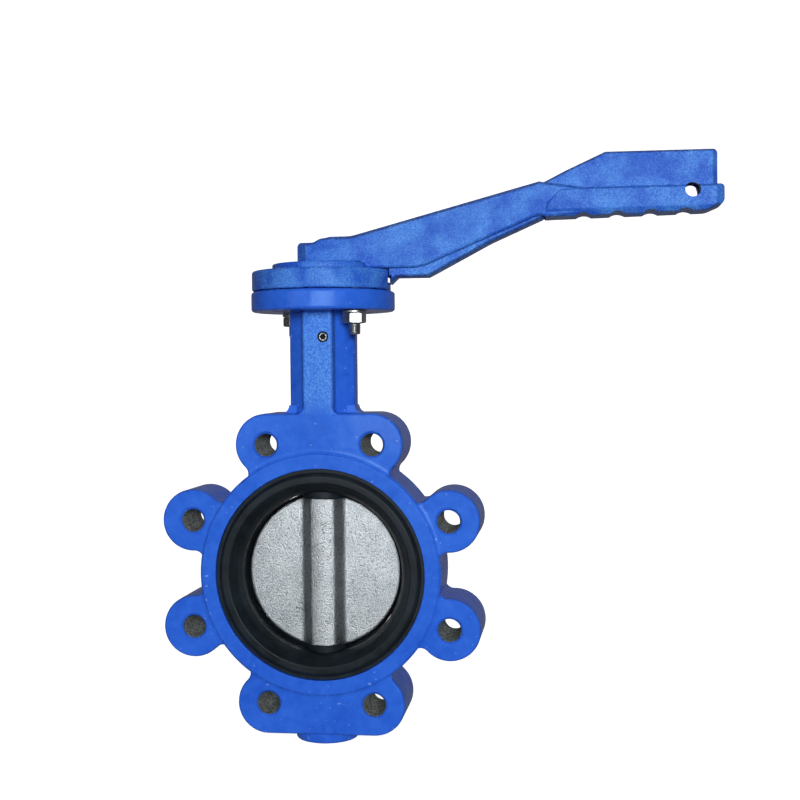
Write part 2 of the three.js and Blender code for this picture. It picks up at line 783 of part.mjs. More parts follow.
function gripOutline() {
  return roundedShape([
    [144.2, gripBottom(144.2)],
    [145.2, 235, 8],
    [154, GRIP_TOP_Z, 9],
    [GRIP_END_X, GRIP_TOP_Z, 2],
    [GRIP_END_X, 232.4, 5],
    [245, gripBottom(245), 12],
  ]);
}

// Cross-section of the grip: flat sides, sloping in to a narrower underside.
function gripSection() {
  const w = GRIP_HALF_WIDTH;
  return roundedShape([
    [-w, 260],
    [-w, 230.4, 1.5],
    [-9.6, GRIP_BOTTOM_Z - 0.6, 4],
    [9.6, GRIP_BOTTOM_Z - 0.6, 4],
    [w, 230.4, 1.5],
    [w, 260],
  ]);
}

// The space the trigger lives in: open below along the arm, open above along the grip.
function leverCavity() {
  return roundedShape([
    [30, 180],
    [30, 215.5, 3],
    [ARM_TOP_END.x + 0.2, ARM_TOP_END.z - ROOF_THICKNESS],
    [ARM_TOP_END.x + 0.2, 275],
    [CAVITY_END_X, 275],
    [CAVITY_END_X, GRIP_FLOOR_Z, 2],
    [145, GRIP_FLOOR_Z],
    [145, 180],
  ]);
}

function makeLever() {
  const w = GRIP_HALF_WIDTH;
  const plan = roundedShape([
    [HUB_BEVEL_X, -w],
    [HUB_BACK_X, -HUB_BACK_HALF_WIDTH, 2],
    [HUB_BACK_X, HUB_BACK_HALF_WIDTH, 2],
    [HUB_BEVEL_X, w],
    [GRIP_END_X, w, 5],
    [GRIP_END_X, -w, 5],
  ]);
  const arm = sideSlab(armOutline(), ARM_HALF_WIDTH, 1.6);
  const grip = sideSlab(gripOutline(), GRIP_HALF_WIDTH, 0.9).intersect(
    crossSlab(gripSection(), 140, GRIP_END_X + 2),
  );
  const spigot = cylinder(SPIGOT_R, SPIGOT_BOTTOM_Z, HUB_BOTTOM_Z + 1, STEM_ROUND);
  const outer = arm.add(grip).intersect(planSlab(plan, 190, 260)).add(spigot);
  const scallops = [0, 1, 2, 3].map((i) => {
    const x = SCALLOP_FIRST_X + i * SCALLOP_PITCH;
    const z = gripBottom(x) + SCALLOP_DEPTH - SCALLOP_R;
    return cylinder(SCALLOP_R, -CROSS_REACH, CROSS_REACH, 32).rotate(alongY).translate([x, 0, z]);
  });
  const socket = STEM_SQUARE / 2 + GAP;
  return cut(outer, [
    sideSlab(leverCavity(), CAVITY_HALF_WIDTH),
    ...scallops,
    box(-socket, socket, -socket, socket, SPIGOT_BOTTOM_Z - 1, HUB_SEAT_Z + 1),
    cylinder(HUB_SEAT_R, HUB_SEAT_Z, HUB_TOP_Z + 10, STEM_ROUND),
    cylinder(PADLOCK.r, -CROSS_REACH, CROSS_REACH, 32)
      .rotate(alongY)
      .translate([PADLOCK.x, 0, PADLOCK.z]),
    pivotBore(),
  ]);
}

// Bore for the trigger pin: through the rear wall and part of the way into the front wall.
function pivotBore() {
  return cylinder(PIVOT.r + 0.15, -CROSS_REACH, PIVOT.bore)
    .rotate(alongY)
    .translate([PIVOT.x, 0, PIVOT.z]);
}

function makeTriggerPin() {
  return cylinder(PIVOT.r, -ARM_HALF_WIDTH + 0.2, PIVOT.bore - GAP)
    .rotate(alongY)
    .translate([PIVOT.x, 0, PIVOT.z]);
}

function makeLeverBolt() {
  const seat = LEVER_BOLT_SEAT_Z;
  const shank = cylinder(M8_R, LEVER_BOLT_END_Z, seat + 1);
  return chamferedHexagon(seat, seat + LEVER_BOLT_HEAD, false).add(shank);
}

// ---------------------------------------------------------------- trigger

// Side view of the trigger: latch over the plate rim, bar inside the arm, palm plate above the grip.
function triggerOutline() {
  return roundedShape([
    [TRIGGER_TIP_X, 199.2],
    [HEEL_X, 199.2, 0.8],
    [HEEL_X, BAR_BOTTOM_Z],
    [HEEL_FOOT_X, BAR_BOTTOM_Z],
    [HEEL_FOOT_X, HEEL_FOOT_Z],
    [HEEL_FOOT_X + 4.5, BAR_BOTTOM_Z],
    [69.8, BAR_BOTTOM_Z, 2],
    [110, 211.2, 12],
    [143.4, 225.8],
    [143.4, 233.2],
    [TRIGGER_END_X, 236.8],
    [TRIGGER_END_X, 266.3, 2.2],
    [182.6, 266.5, 2],
    [157.6, 255.3, 10],
    [143.7, 248.4, 1.2],
    [143.6, 243.2],
    [136, 240.8],
    [52, 214, 6],
    [TRIGGER_TIP_X, 206],
  ]);
}

function makeTrigger() {
  const plan = roundedShape([
    [TRIGGER_TIP_X - 2, -TRIGGER_HALF_WIDTH],
    [TRIGGER_END_X, -TRIGGER_HALF_WIDTH, 2.6],
    [TRIGGER_END_X, TRIGGER_HALF_WIDTH, 2.6],
    [TRIGGER_TIP_X - 2, TRIGGER_HALF_WIDTH],
  ]);
  const outer = sideSlab(triggerOutline(), TRIGGER_HALF_WIDTH, 0.8).intersect(planSlab(plan, 180, 270));
  const tooth = box(
    TRIGGER_TIP_X + 0.3,
    HEEL_X + 2,
    -TOOTH_HALF_WIDTH,
    TOOTH_HALF_WIDTH,
    TOOTH_TIP_Z,
    TOOTH_TIP_Z + 5,
  );
  const inner = TRIGGER_HALF_WIDTH - TRIGGER_WALL;
  const armTrough = roundedShape([
    [58, 230],
    [58, 199, 2],
    [72, 199, 4],
    [128, 226, 4],
    [128, 250],
  ]);
  const palmPocket = roundedShape([
    [150, 225],
    [150, 246.6, 2],
    [182, PALM_UNDERSIDE_Z, 2],
    [247.6, PALM_UNDERSIDE_Z, 2],
    [247.6, 225],
  ]);
  // The padlock notch is open below, so a padlock bars squeezing but not latching.
  const padlockNotch = roundedShape([
    [PADLOCK.x - PADLOCK.r, 230],
    [PADLOCK.x + PADLOCK.r, 230],
    [PADLOCK.x + PADLOCK.r, PADLOCK.z + PADLOCK.r, PADLOCK.r - 0.01],
    [PADLOCK.x - PADLOCK.r, PADLOCK.z + PADLOCK.r, PADLOCK.r - 0.01],
  ]);
  return cut(outer.add(tooth), [
    sideSlab(armTrough, inner),
    sideSlab(palmPocket, inner),
    sideSlab(padlockNotch, CROSS_REACH),
    cylinder(PIVOT.r + GAP, -CROSS_REACH, CROSS_REACH, 24)
      .rotate(alongY)
      .translate([PIVOT.x, 0, PIVOT.z]),
  ]);
}

class Helix extends THREE.Curve {
  constructor(radius, height, turns) {
    super();
    this.radius = radius;
    this.height = height;
    this.turns = turns;
  }

  getPoint(t, target = new THREE.Vector3()) {
    const angle = 2 * Math.PI * this.turns * t;
    return target.set(this.radius * Math.cos(angle), this.radius * Math.sin(angle), this.height * t);
  }
}

function makeReturnSpring() {
  const foot = GRIP_FLOOR_Z + SPRING.wireR + 0.2;
  const top = PALM_UNDERSIDE_Z - SPRING.wireR - 0.2;
  const wire = new THREE.Shape();
  wire.absarc(0, 0, SPRING.wireR, 0, 2 * Math.PI, false);
  const path = new Helix(SPRING.coilR, top - foot, SPRING.turns);
  const geometry = new THREE.ExtrudeGeometry(wire, {
    steps: SPRING.turns * 10,
    curveSegments: 3,
    bevelEnabled: false,
    extrudePath: path,
  });
  return toSolid(geometry).translate([SPRING.x, 0, foot]);
}

// ---------------------------------------------------------------- assembly

function addPiece(group, name, solid, material, position = [0, 0, 0]) {
  const mesh = new THREE.Mesh(toGeometry(solid), material);
  mesh.name = name;
  mesh.position.set(...position);
  group.add(mesh);
}

function makeFixedPieces() {
  const group = new THREE.Group();
  group.name = 'fixed_pieces';
  addPiece(group, 'valve_body', makeBody(), bluePaint());
  addPiece(group, 'seat_liner', makeSeatLiner(), rubber());
  addPiece(group, 'bushing_neck_lower', makeBushing(62, 84), bronze());
  addPiece(group, 'bushing_neck_upper', makeBushing(158, 180), bronze());
  addPiece(group, 'bushing_foot', makeBushing(-84, -62), bronze());
  addPiece(group, 'o_ring_neck_lower', makeORing(86.5), rubber());
  addPiece(group, 'o_ring_neck_upper', makeORing(90), rubber());
  addPiece(group, 'o_ring_foot', makeORing(-86.5), rubber());
  addPiece(group, 'stem_lock_screw', makeLockScrew(), zincSteel());
  addPiece(group, 'notch_plate', makeNotchPlate(), bluePaint());
  const washerFoot = NUT_TOP_Z + 0.1;
  Object.entries(STUD_ANGLES).forEach(([side, degrees]) => {
    const [x, y] = polar(FLANGE_BOLT_R, degrees);
    const washer = ring(WASHER_HOLE_R, WASHER_R, washerFoot, washerFoot + WASHER_THICKNESS);
    addPiece(group, `plate_stud_${side}`, makeStud(), zincSteel(), [x, y, 0]);
    addPiece(group, `plate_washer_${side}`, washer, zincSteel(), [x, y, 0]);
    addPiece(group, `plate_nut_${side}`, makeNut(), zincSteel(), [x, y, 0]);
  });
  return group;
}

function makeTurningPieces() {
  const group = new THREE.Group();
  group.name = 'turning_pieces';
  addPiece(group, 'disc', makeDisc(), castSteel());
  addPiece(group, 'upper_stem', makeUpperStem(), stemSteel());
  addPiece(group, 'lower_stem', makeLowerStem(), stemSteel());
  addPiece(group, 'lever', makeLever(), castBluePaint());
  const washer = ring(WASHER_HOLE_R, LEVER_WASHER_R, HUB_SEAT_Z + 0.2, LEVER_BOLT_SEAT_Z - 0.2);
  addPiece(group, 'lever_washer', washer, zincSteel());
  addPiece(group, 'lever_bolt', makeLeverBolt(), zincSteel());
  addPiece(group, 'trigger_pin', makeTriggerPin(), stemSteel());
  addPiece(group, 'trigger_spring', makeReturnSpring(), springSteel());
  addPiece(group, 'trigger', makeTrigger(), castBluePaint());
  return group;
}

const butterflyValve = new THREE.Group();
butterflyValve.name = 'butterfly_valve';
butterflyValve.add(makeFixedPieces());
butterflyValve.add(makeTurningPieces());

export default butterflyValve;
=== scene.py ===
"""Looks of the lug-type butterfly valve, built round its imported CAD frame.

Shapes are made in millimetres in a hidden workshop collection, joined and cut as closed solids,
and scaled to metres when they become pieces. +Z is up the stem, the pipe runs along Y.
"""

import math

import bmesh
import bpy
from mathutils import Matrix, Vector


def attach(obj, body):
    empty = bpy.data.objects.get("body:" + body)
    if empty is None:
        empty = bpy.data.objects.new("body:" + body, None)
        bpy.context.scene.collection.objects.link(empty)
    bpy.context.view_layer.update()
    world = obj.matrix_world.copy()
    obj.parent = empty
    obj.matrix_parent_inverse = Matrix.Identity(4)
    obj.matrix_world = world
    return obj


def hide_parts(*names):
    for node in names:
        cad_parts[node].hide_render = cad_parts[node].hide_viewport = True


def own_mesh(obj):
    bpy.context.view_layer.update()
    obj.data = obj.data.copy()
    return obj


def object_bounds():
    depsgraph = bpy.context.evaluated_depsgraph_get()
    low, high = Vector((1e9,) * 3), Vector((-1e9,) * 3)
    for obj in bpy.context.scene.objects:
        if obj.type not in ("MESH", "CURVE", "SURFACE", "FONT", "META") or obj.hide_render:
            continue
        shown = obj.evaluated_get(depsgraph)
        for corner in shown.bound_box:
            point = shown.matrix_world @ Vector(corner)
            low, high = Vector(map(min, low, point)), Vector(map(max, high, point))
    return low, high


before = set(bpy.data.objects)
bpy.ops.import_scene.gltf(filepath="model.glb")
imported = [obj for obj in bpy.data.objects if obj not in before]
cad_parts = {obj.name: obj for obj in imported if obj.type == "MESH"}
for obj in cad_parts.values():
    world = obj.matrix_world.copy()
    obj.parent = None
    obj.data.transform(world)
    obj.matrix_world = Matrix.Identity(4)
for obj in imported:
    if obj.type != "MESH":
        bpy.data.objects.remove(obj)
cad_low, cad_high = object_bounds()

MM = 0.001
scene = bpy.context.scene

# ---------------------------------------------------------------- driving values, millimetres

# body casting
LUG_CIRCLE_R = 90
LUG_COUNT = 8
TOP_LUG_ANGLE = 67.5  # degrees, the first of the two lugs that share the straight top edge
LUG_R = 20
LUG_HALF_DEPTH = 23
LUG_EDGE_R = 1.3
EDGE_LEAN = 1.7  # cast edges reach this much further along Y than across
BOLT_HOLE_R = 7
BOLT_THREAD_DEPTH = 0.7
BOLT_THREAD_PITCH = 2
BOLT_CHAMFER = 0.7
DRUM_R = 78.2
DRUM_HALF_DEPTH = 24.5
VALLEY_R = 77
VALLEY_FILLET_R = 6
RING_FOOT_R = 2.6
BODY_BORE_R = 58.5
LINER_RECESS_R = 67.9
LINER_RECESS_Y = 19

# neck, foot and top flange
NECK_HALF_WIDTH = 21.6
NECK_HALF_DEPTH = 10
NECK_FLANK_LEAN = 4.2  # the neck's flanks fall back by twice this from its pad to its sides
PAD_HALF_WIDTH = 10
NECK_BOTTOM_Z = 66
FOOT_FILLET_R = 5
PAD_FILLET_R = 2.5
BOTTOM_BOSS_R = 20.4
BOTTOM_BOSS_Z = -109.7
STEM_R = 8
STEM_BORE_R = 10.3
LOWER_BORE_Z = -105
FLANGE_R = 46.8
FLANGE_BOTTOM_Z = 168.7
FLANGE_TOP_Z = 181.7
FLANGE_BOLT_R = 35
FLANGE_HOLE_R = 4.5

# notch plate
PLATE_R = 46.3
PLATE_BOTTOM_Z = 182.1
PLATE_TOP_Z = 195
SECTOR_R = 33
SECTOR_TOP_Z = 199.7
SEAT_R = 21
STOP_FACE = 13
NOTCH_COUNT = 10
NOTCH_WIDTH = 5
NOTCH_ROOT_R = 38
NOTCH_FLOOR_Z = 190
NOTCHED_RIM_R = 42
NOTCHED_FOOT_R = 44.2
NOTCHED_FOOT_Z = 187
NOTCHED_MARGIN = 15.5  # degrees

# seat liner and disc
LINER_BORE_R = 52
LINER_FACE_Y = 26
DISC_R = 51.7
DISC_HALF_THICKNESS = 6
DISC_CAST_R = 49.6
DISC_EDGE_HALF = 4.8
DISC_STEP = 0.4
DISC_BEVEL_R = 51.2
DISC_RIM_HALF = 2.4
DISC_BOSS_HEIGHT = 13.5
DISC_BOSS_CROWN = 7.2
DISC_BOSS_HALF_WIDTH = 15.2
DISC_BOSS_FALL = 0.022  # the crown falls by this times the square of the distance across
DISC_RINGS = 60
DISC_SIDES = 256
DISC_HUB_R = 14.6
DISC_HUB_END_Z = 47.3

# stem and fasteners
STEM_SQUARE = 11
STEM_TOP_Z = 205.2
SQUARE_FOOT_Z = 185
TAP_BOTTOM_Z = 184
UPPER_STEM_FOOT_Z = 52
TANG_FOOT_Z = 15
LOWER_STEM_TOP_Z = -22
LOCK_SCREW_X = 3.8
LOCK_SCREW_Z = 152
LOCK_SCREW_R = 3
M8_R = 4
M8_PITCH = 1.25
NUT_ACROSS_FLATS = 13
NUT_HEIGHT = 6.5
NUT_TURN = 16  # degrees
NUT_TOP_Z = 166.8
WASHER_HOLE_R = 4.25
WASHER_R = 8
WASHER_THICKNESS = 1.5
STUD_ANGLES = {"front": -45, "rear": 135}
STUD_FOOT_Z = 153.2
STUD_TOP_Z = 190.5
STUD_BORE_TOP_Z = 191

# lever casting
ARM_HALF_WIDTH = 12.6
GRIP_HALF_WIDTH = 13.8
CAVITY_HALF_WIDTH = 9.2
HUB_BACK_X = -16
HUB_BACK_HALF_WIDTH = 5
HUB_BEVEL_X = -8
HUB_BOTTOM_Z = 200
HUB_STEP_Z = 213.4
HUB_TOP_Z = 217
SPIGOT_R = 9.6
SPIGOT_BOTTOM_Z = 185.5
HUB_SEAT_R = 10.6
HUB_SEAT_Z = 205.8
LEVER_WASHER_R = 9
LEVER_BOLT_SEAT_Z = 207.6
LEVER_BOLT_HEAD = 5.3
LEVER_BOLT_END_Z = 187
ARM_TOP_EDGE = 2.4
ARM_FOOT_EDGE = 1.9
ARM_TOP_END = (141.6, 248.9)
ROOF_THICKNESS = 4.5
GRIP_END_X = 255.8
CAVITY_END_X = 253
GRIP_TOP_Z = 244
GRIP_BOTTOM_Z = 226
GRIP_BOTTOM_SLOPE = 0.019
GRIP_FRONT_X = 144.2
GRIP_FLOOR_Z = 232.5
SCALLOP_R = 7.5
SCALLOP_DEPTH = 1.7
SCALLOP_PITCH = 21
SCALLOP_FIRST_X = 168.9
PADLOCK_X, PADLOCK_Z, PADLOCK_R = 236.1, 240.8, 4.8

# trigger and its spring
PIVOT_X, PIVOT_Z, PIVOT_R = 141, 237, 3
TRIGGER_HALF_WIDTH = 8.6
TRIGGER_WALL = 3
TRIGGER_TIP_X = 38.5
TRIGGER_END_X = 251.7
HEEL_X = 43.4
HEEL_FOOT_X = 45
HEEL_FOOT_Z = 185.8
BAR_BOTTOM_Z = 190.1
TOOTH_HALF_WIDTH = 1.9
TOOTH_TIP_Z = PLATE_TOP_Z + 0.5
PALM_UNDERSIDE_Z = 262.6
SPRING_X, SPRING_COIL_R, SPRING_WIRE_R, SPRING_TURNS = 205, 4.2, 0.7, 6

# paint, shared by the smooth and the rough castings
PAINT_TINT = (0.55, 1, 0.82, 1)

# camera and studio, in metres, watts and degrees unless the name says millimetres
CAMERA_MM = (163.4, -845.6, 129.1)
CAMERA_YAW, CAMERA_PITCH, CAMERA_ROLL = 7.64, -1.22, 0.55
LENS_MM, SENSOR_MM = 59.09, 36
WALL_Y, WALL_LOW, WALL_HIGH = -2.0, -0.03, 0.75
WALL_WATTS_PER_AREA = 18
WALL_PANELS = {  # left, right, strength
    "front_left": (-2.2, -0.5, 0.3),
    "front_middle": (-0.32, 1.04, 1),
    "front_right": (1.16, 2.0, 0.15),
}
LAMPS = {  # place, width, height, watts, whether gloss shows it
    "key": ((0.45, -2.1, 0.4), 0.6, 0.5, 46, False),
    "overhead": ((0, -0.4, 2.0), 2.0, 1.4, 2.5, True),
    "rear_fill": ((0.4, 2.4, 1.7), 2.6, 1.0, 20, False),
}
GLOOM_BELOW, GLOOM_ABOVE = (0.16, 0.14, 0.13, 1), (0.05, 0.05, 0.053, 1)
GLOOM_BEHIND = (0.17, 0.17, 0.18, 1)
SEEN_BACKDROP = (0.93, 0.93, 0.94, 1)

CLEARANCE = 0.3
ROUND = 192  # sides of a large circle
SMALL_ROUND = 64

# ---------------------------------------------------------------- workshop: solids in millimetres

workshop = bpy.data.collections.new("workshop")
scene.collection.children.link(workshop)


def solid(points, faces, material=None):
    """A closed workshop solid with its faces turned outward."""
    mesh = bpy.data.meshes.new("solid")
    mesh.from_pydata([tuple(p) for p in points], [], faces)
    shape = bmesh.new()
    shape.from_mesh(mesh)
    bmesh.ops.remove_doubles(shape, verts=shape.verts, dist=1e-4)
    bmesh.ops.recalc_face_normals(shape, faces=shape.faces)
    shape.to_mesh(mesh)
    shape.free()
    made = bpy.data.objects.new("solid", mesh)
    workshop.objects.link(made)
    if material:
        mesh.materials.append(material)
    return made


def combine(base, others, operation):
    """base with the other solids joined on (UNION), cut away (DIFFERENCE) or kept (INTERSECT)."""
    folder = bpy.data.collections.new("operands")
    scene.collection.children.link(folder)
    for other in others:
        workshop.objects.unlink(other)
        folder.objects.link(other)
    change = base.modifiers.new("change", "BOOLEAN")
    change.solver = "MANIFOLD"
    change.operation = operation
    change.material_mode = "TRANSFER"
    change.operand_type = "COLLECTION"
    change.collection = folder
    evaluated = base.evaluated_get(bpy.context.evaluated_depsgraph_get())
    mesh = bpy.data.meshes.new_from_object(evaluated)
    base.modifiers.clear()
    base.data = mesh
    for other in others:
        bpy.data.objects.remove(other)
    bpy.data.collections.remove(folder)
    return base


def join(base, *others):
    return combine(base, others, "UNION")


def cut(base, *others):
    return combine(base, others, "DIFFERENCE")


def keep(base, other):
    return combine(base, [other], "INTERSECT")


def place(made, turn=None, at=(0, 0, 0)):
    """Turns a workshop solid about (axis, degrees), then shifts it, in its mesh."""
    if turn:
        made.data.transform(Matrix.Rotation(math.radians(turn[1]), 4, turn[0]))
    made.data.transform(Matrix.Translation(Vector(at)))
    return made


def polar(radius, degrees):
    angle = math.radians(degrees)
    return radius * math.cos(angle), radius * math.sin(angle)


def rounded(corners, step=6):
    """Closed outline through corners (u, v, radius), each rounded by its own radius."""
    points = []
    for i, corner in enumerate(corners):
        here = Vector(corner[:2])
        radius = corner[2] if len(corner) > 2 else 0
        before = Vector(corners[i - 1][:2])
        after = Vector(corners[(i + 1) % len(corners)][:2])
        back, ahead = (before - here).normalized(), (after - here).normalized()
        if radius == 0:
            points.append(here)
            continue
        half = back.angle(ahead) / 2
        centre = here + (back + ahead).normalized() * radius / math.sin(half)
        start = here + back * radius / math.tan(half) - centre
        sweep = math.pi - 2 * half
        if (here - before).cross(after - here) < 0:
            sweep = -sweep
        steps = max(2, math.ceil(abs(math.degrees(sweep)) / step))
        for k in range(steps + 1):
            turn = Matrix.Rotation(sweep * k / steps, 2)
            points.append(centre + turn @ start)
    return points


def inset(outline, distance):
    """The outline moved inward by a distance, corner by corner."""
    count = len(outline)
    area = sum(outline[i - 1].cross(outline[i]) for i in range(count))
    side = 1 if area > 0 else -1
    moved = []
    for i, here in enumerate(outline):
        into = (here - outline[i - 1]).normalized()
        out = (outline[(i + 1) % count] - here).normalized()
        first = Vector((-into.y, into.x)) * side
        second = Vector((-out.y, out.x)) * side
        moved.append(here + (first + second) * distance / (1 + first.dot(second)))
    return moved


PLANES = {
    "xy": lambda u, v, w: (u, v, w),
    "xz": lambda u, v, w: (u, w, v),
    "yz": lambda u, v, w: (w, u, v),
}


def slab(outline, low, high, plane="xz", edge=0, steps=4, lean=1):
    """An outline given thickness from low to high. Its face edges are rounded by edge, or
    bevelled if steps is 1, and are lean times as deep as they are wide."""
    to_space = PLANES[plane]
    layers = [(low, 0), (high, 0)]
    if edge:
        angles = [math.pi / 2 * k / steps for k in range(steps + 1)]
        lower = [(low + lean * edge * (1 - math.sin(a)), edge * (1 - math.cos(a))) for a in angles]
        layers = sorted(lower + [(high - (w - low), depth) for w, depth in lower])
    rings = [[to_space(p.x, p.y, w) for p in inset(outline, depth)] for w, depth in layers]
    count = len(outline)
    points = [p for one in rings for p in one]
    faces = [list(range(count)), list(range(len(points) - count, len(points)))]
    for layer in range(len(rings) - 1):
        for i in range(count):
            a, b = layer * count + i, layer * count + (i + 1) % count
            faces.append([a, b, b + count, a + count])
    return solid(points, faces)


def from_rows(rows, loop=False, material=None):
    """A closed solid from rings of points. Its first and last rows are single points, or it closes
    on itself as a loop."""
    points, starts = [], []
    for row in rows:
        starts.append(len(points))
        points += row
    sides = max(len(row) for row in rows)
    pairs = [(k, k + 1) for k in range(len(rows) - 1)]
    if loop:
        pairs.append((len(rows) - 1, 0))
    faces = []
    for low, high in pairs:
        for i in range(sides):
            j = (i + 1) % sides
            a, b = (starts[low] + k % len(rows[low]) for k in (i, j))
            c, d = (starts[high] + k % len(rows[high]) for k in (j, i))
            face = list(dict.fromkeys([a, b, c, d]))
            if len(face) > 2:
                faces.append(face)
    return solid(points, faces, material)


def turned(profile, segments=ROUND, loop=False, material=None):
    """A solid turned about Z from a profile of (radius, z), axis to axis or a closed loop."""
    rows = []
    for radius, z in profile:
        angles = [2 * math.pi * i / segments for i in range(segments if radius > 1e-6 else 1)]
        rows.append([(radius * math.cos(a), radius * math.sin(a), z) for a in angles])
    return from_rows(rows, loop, material)


def cylinder(radius, low, high, segments=SMALL_ROUND, material=None):
    return turned([(0, low), (radius, low), (radius, high), (0, high)], segments, False, material)


def disc_blank(radius, low, high, edge, segments=ROUND):
    """A turned disc with rounded rims."""
    outline = rounded([(0, low), (radius, low, edge), (radius, high, edge), (0, high)], 15)
    return turned(outline, segments)


def along_y(made):
    return place(made, ("X", -90))


def block(x0, x1, y0, y1, z0, z1):
    outline = [Vector(p) for p in ((x0, y0), (x1, y0), (x1, y1), (x0, y1))]
    return slab(outline, z0, z1, "xy")


def hexagon(across_flats):
    return [Vector(polar(across_flats / math.sqrt(3), 60 * i)) for i in range(6)]


def threaded(minor, major, pitch, low, high, sides=48, material=None):
    """A rod with a thread from low to high: crests at major, roots at minor."""
    rows_per_turn = 6
    rows = math.ceil((high - low) / pitch * rows_per_turn)
    points = [(0, 0, low)]
    for row in range(rows + 1):
        z = low + (high - low) * row / rows
        for i in range(sides):
            phase = (z / pitch - i / sides) % 1
            depth = abs(2 * phase - 1)
            radius = minor + (major - minor) * depth
            angle = 2 * math.pi * i / sides
            points.append((radius * math.cos(angle), radius * math.sin(angle), z))
    points.append((0, 0, high))
    top = len(points) - 1
    faces = []
    for i in range(sides):
        j = (i + 1) % sides
        faces.append([0, 1 + j, 1 + i])
        faces.append([top, top - sides + i, top - sides + j])
        for row in range(rows):
            a, b = 1 + row * sides + i, 1 + row * sides + j
            faces.append([a, b, b + sides, a + sides])
    return solid(points, faces, material)


def piece(made, name, body, nodes, materials, sharp=32):
    """Turns a workshop solid into a finished piece in metres that rides on a CAD body."""
    made.name = name
    made.data.name = name
    made.data.transform(Matrix.Scale(MM, 4))
    workshop.objects.unlink(made)
    scene.collection.objects.link(made)
    for i, material in enumerate(materials):
        if i < len(made.data.materials):
            made.data.materials[i] = material
        else:
            made.data.materials.append(material)
    made.data.shade_smooth()
    made.data.set_sharp_from_angle(angle=math.radians(sharp))
    weighted = made.modifiers.new("even_normals", "WEIGHTED_NORMAL")
    weighted.keep_sharp = True
    weighted.weight = 80
    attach(made, body)
    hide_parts(*nodes)
    return made


# ---------------------------------------------------------------- materials


class Surface:
    """A material's node tree, with the few steps that every finish here uses."""

    def __init__(self, name):
        self.material = bpy.data.materials.new(name)
        self.material.use_nodes = True
        self.tree = self.material.node_tree
        self.shader = self.tree.nodes["Principled BSDF"]
        self.place = self.add("TexCoord").outputs["Object"]

    def add(self, kind, inputs=None, **settings):
        made = self.tree.nodes.new("ShaderNode" + kind)
        for key, value in settings.items():
            setattr(made, key, value)
        for key, value in (inputs or {}).items():
            self.feed(made.inputs[key], value)
        return made

    def feed(self, socket, value):
        if isinstance(value, bpy.types.NodeSocket):
            self.tree.links.new(value, socket)
        else:
            socket.default_value = value

    def set(self, **values):
        for key, value in values.items():
            self.feed(self.shader.inputs[key.replace("_", " ")], value)

    def noise(self, size_mm, detail=2.0, rough=0.5, stretch=None):
        """Noise with features of about size_mm, stretched along an axis if asked."""
        where = self.place
        if stretch:
            where = self.add("Mapping", {"Vector": where, "Scale": stretch}).outputs["Vector"]
        inputs = {"Vector": where, "Scale": 1 / (size_mm * MM), "Detail": detail, "Roughness": rough}
        return self.add("TexNoise", inputs).outputs["Fac"]

    def ramp(self, value, low, high, start, end):
        """value mapped from low..high to start..end, clamped."""
        inputs = {"Value": value, "From Min": low, "From Max": high, "To Min": start, "To Max": end}
        return self.add("MapRange", inputs).outputs["Result"]

    def mix(self, share, first, second):
        """A blend of two colours. The colour sockets are the node's inputs 6 and 7."""
        made = self.add("Mix", data_type="RGBA")
        for i, value in ((0, share), (6, first), (7, second)):
            self.feed(made.inputs[i], value)
        return made.outputs[2]

    def math(self, operation, first, second):
        made = self.add("Math", operation=operation)
        self.feed(made.inputs[0], first)
        self.feed(made.inputs[1], second)
        return made.outputs[0]

    def bump(self, height, depth_mm, strength=1.0, under=None):
        inputs = {"Height": height, "Distance": depth_mm * MM, "Strength": strength}
        if under is not None:
            inputs["Normal"] = under
        return self.add("Bump", inputs).outputs["Normal"]

    def soft_edges(self, radius_mm):
        return self.add("Bevel", {"Radius": radius_mm * MM}, samples=4).outputs["Normal"]

    def along(self, axis):
        """Position along an axis of the object, in metres."""
        return self.add("SeparateXYZ", {"Vector": self.place}).outputs[axis]


def srgb(red, green, blue):
    """A colour from 0 to 255 sRGB values, as the linear colour that Blender wants."""
    shares = (red / 255, green / 255, blue / 255)
    linear = [c / 12.92 if c <= 0.04045 else ((c + 0.055) / 1.055) ** 2.4 for c in shares]
    return (*linear, 1.0)


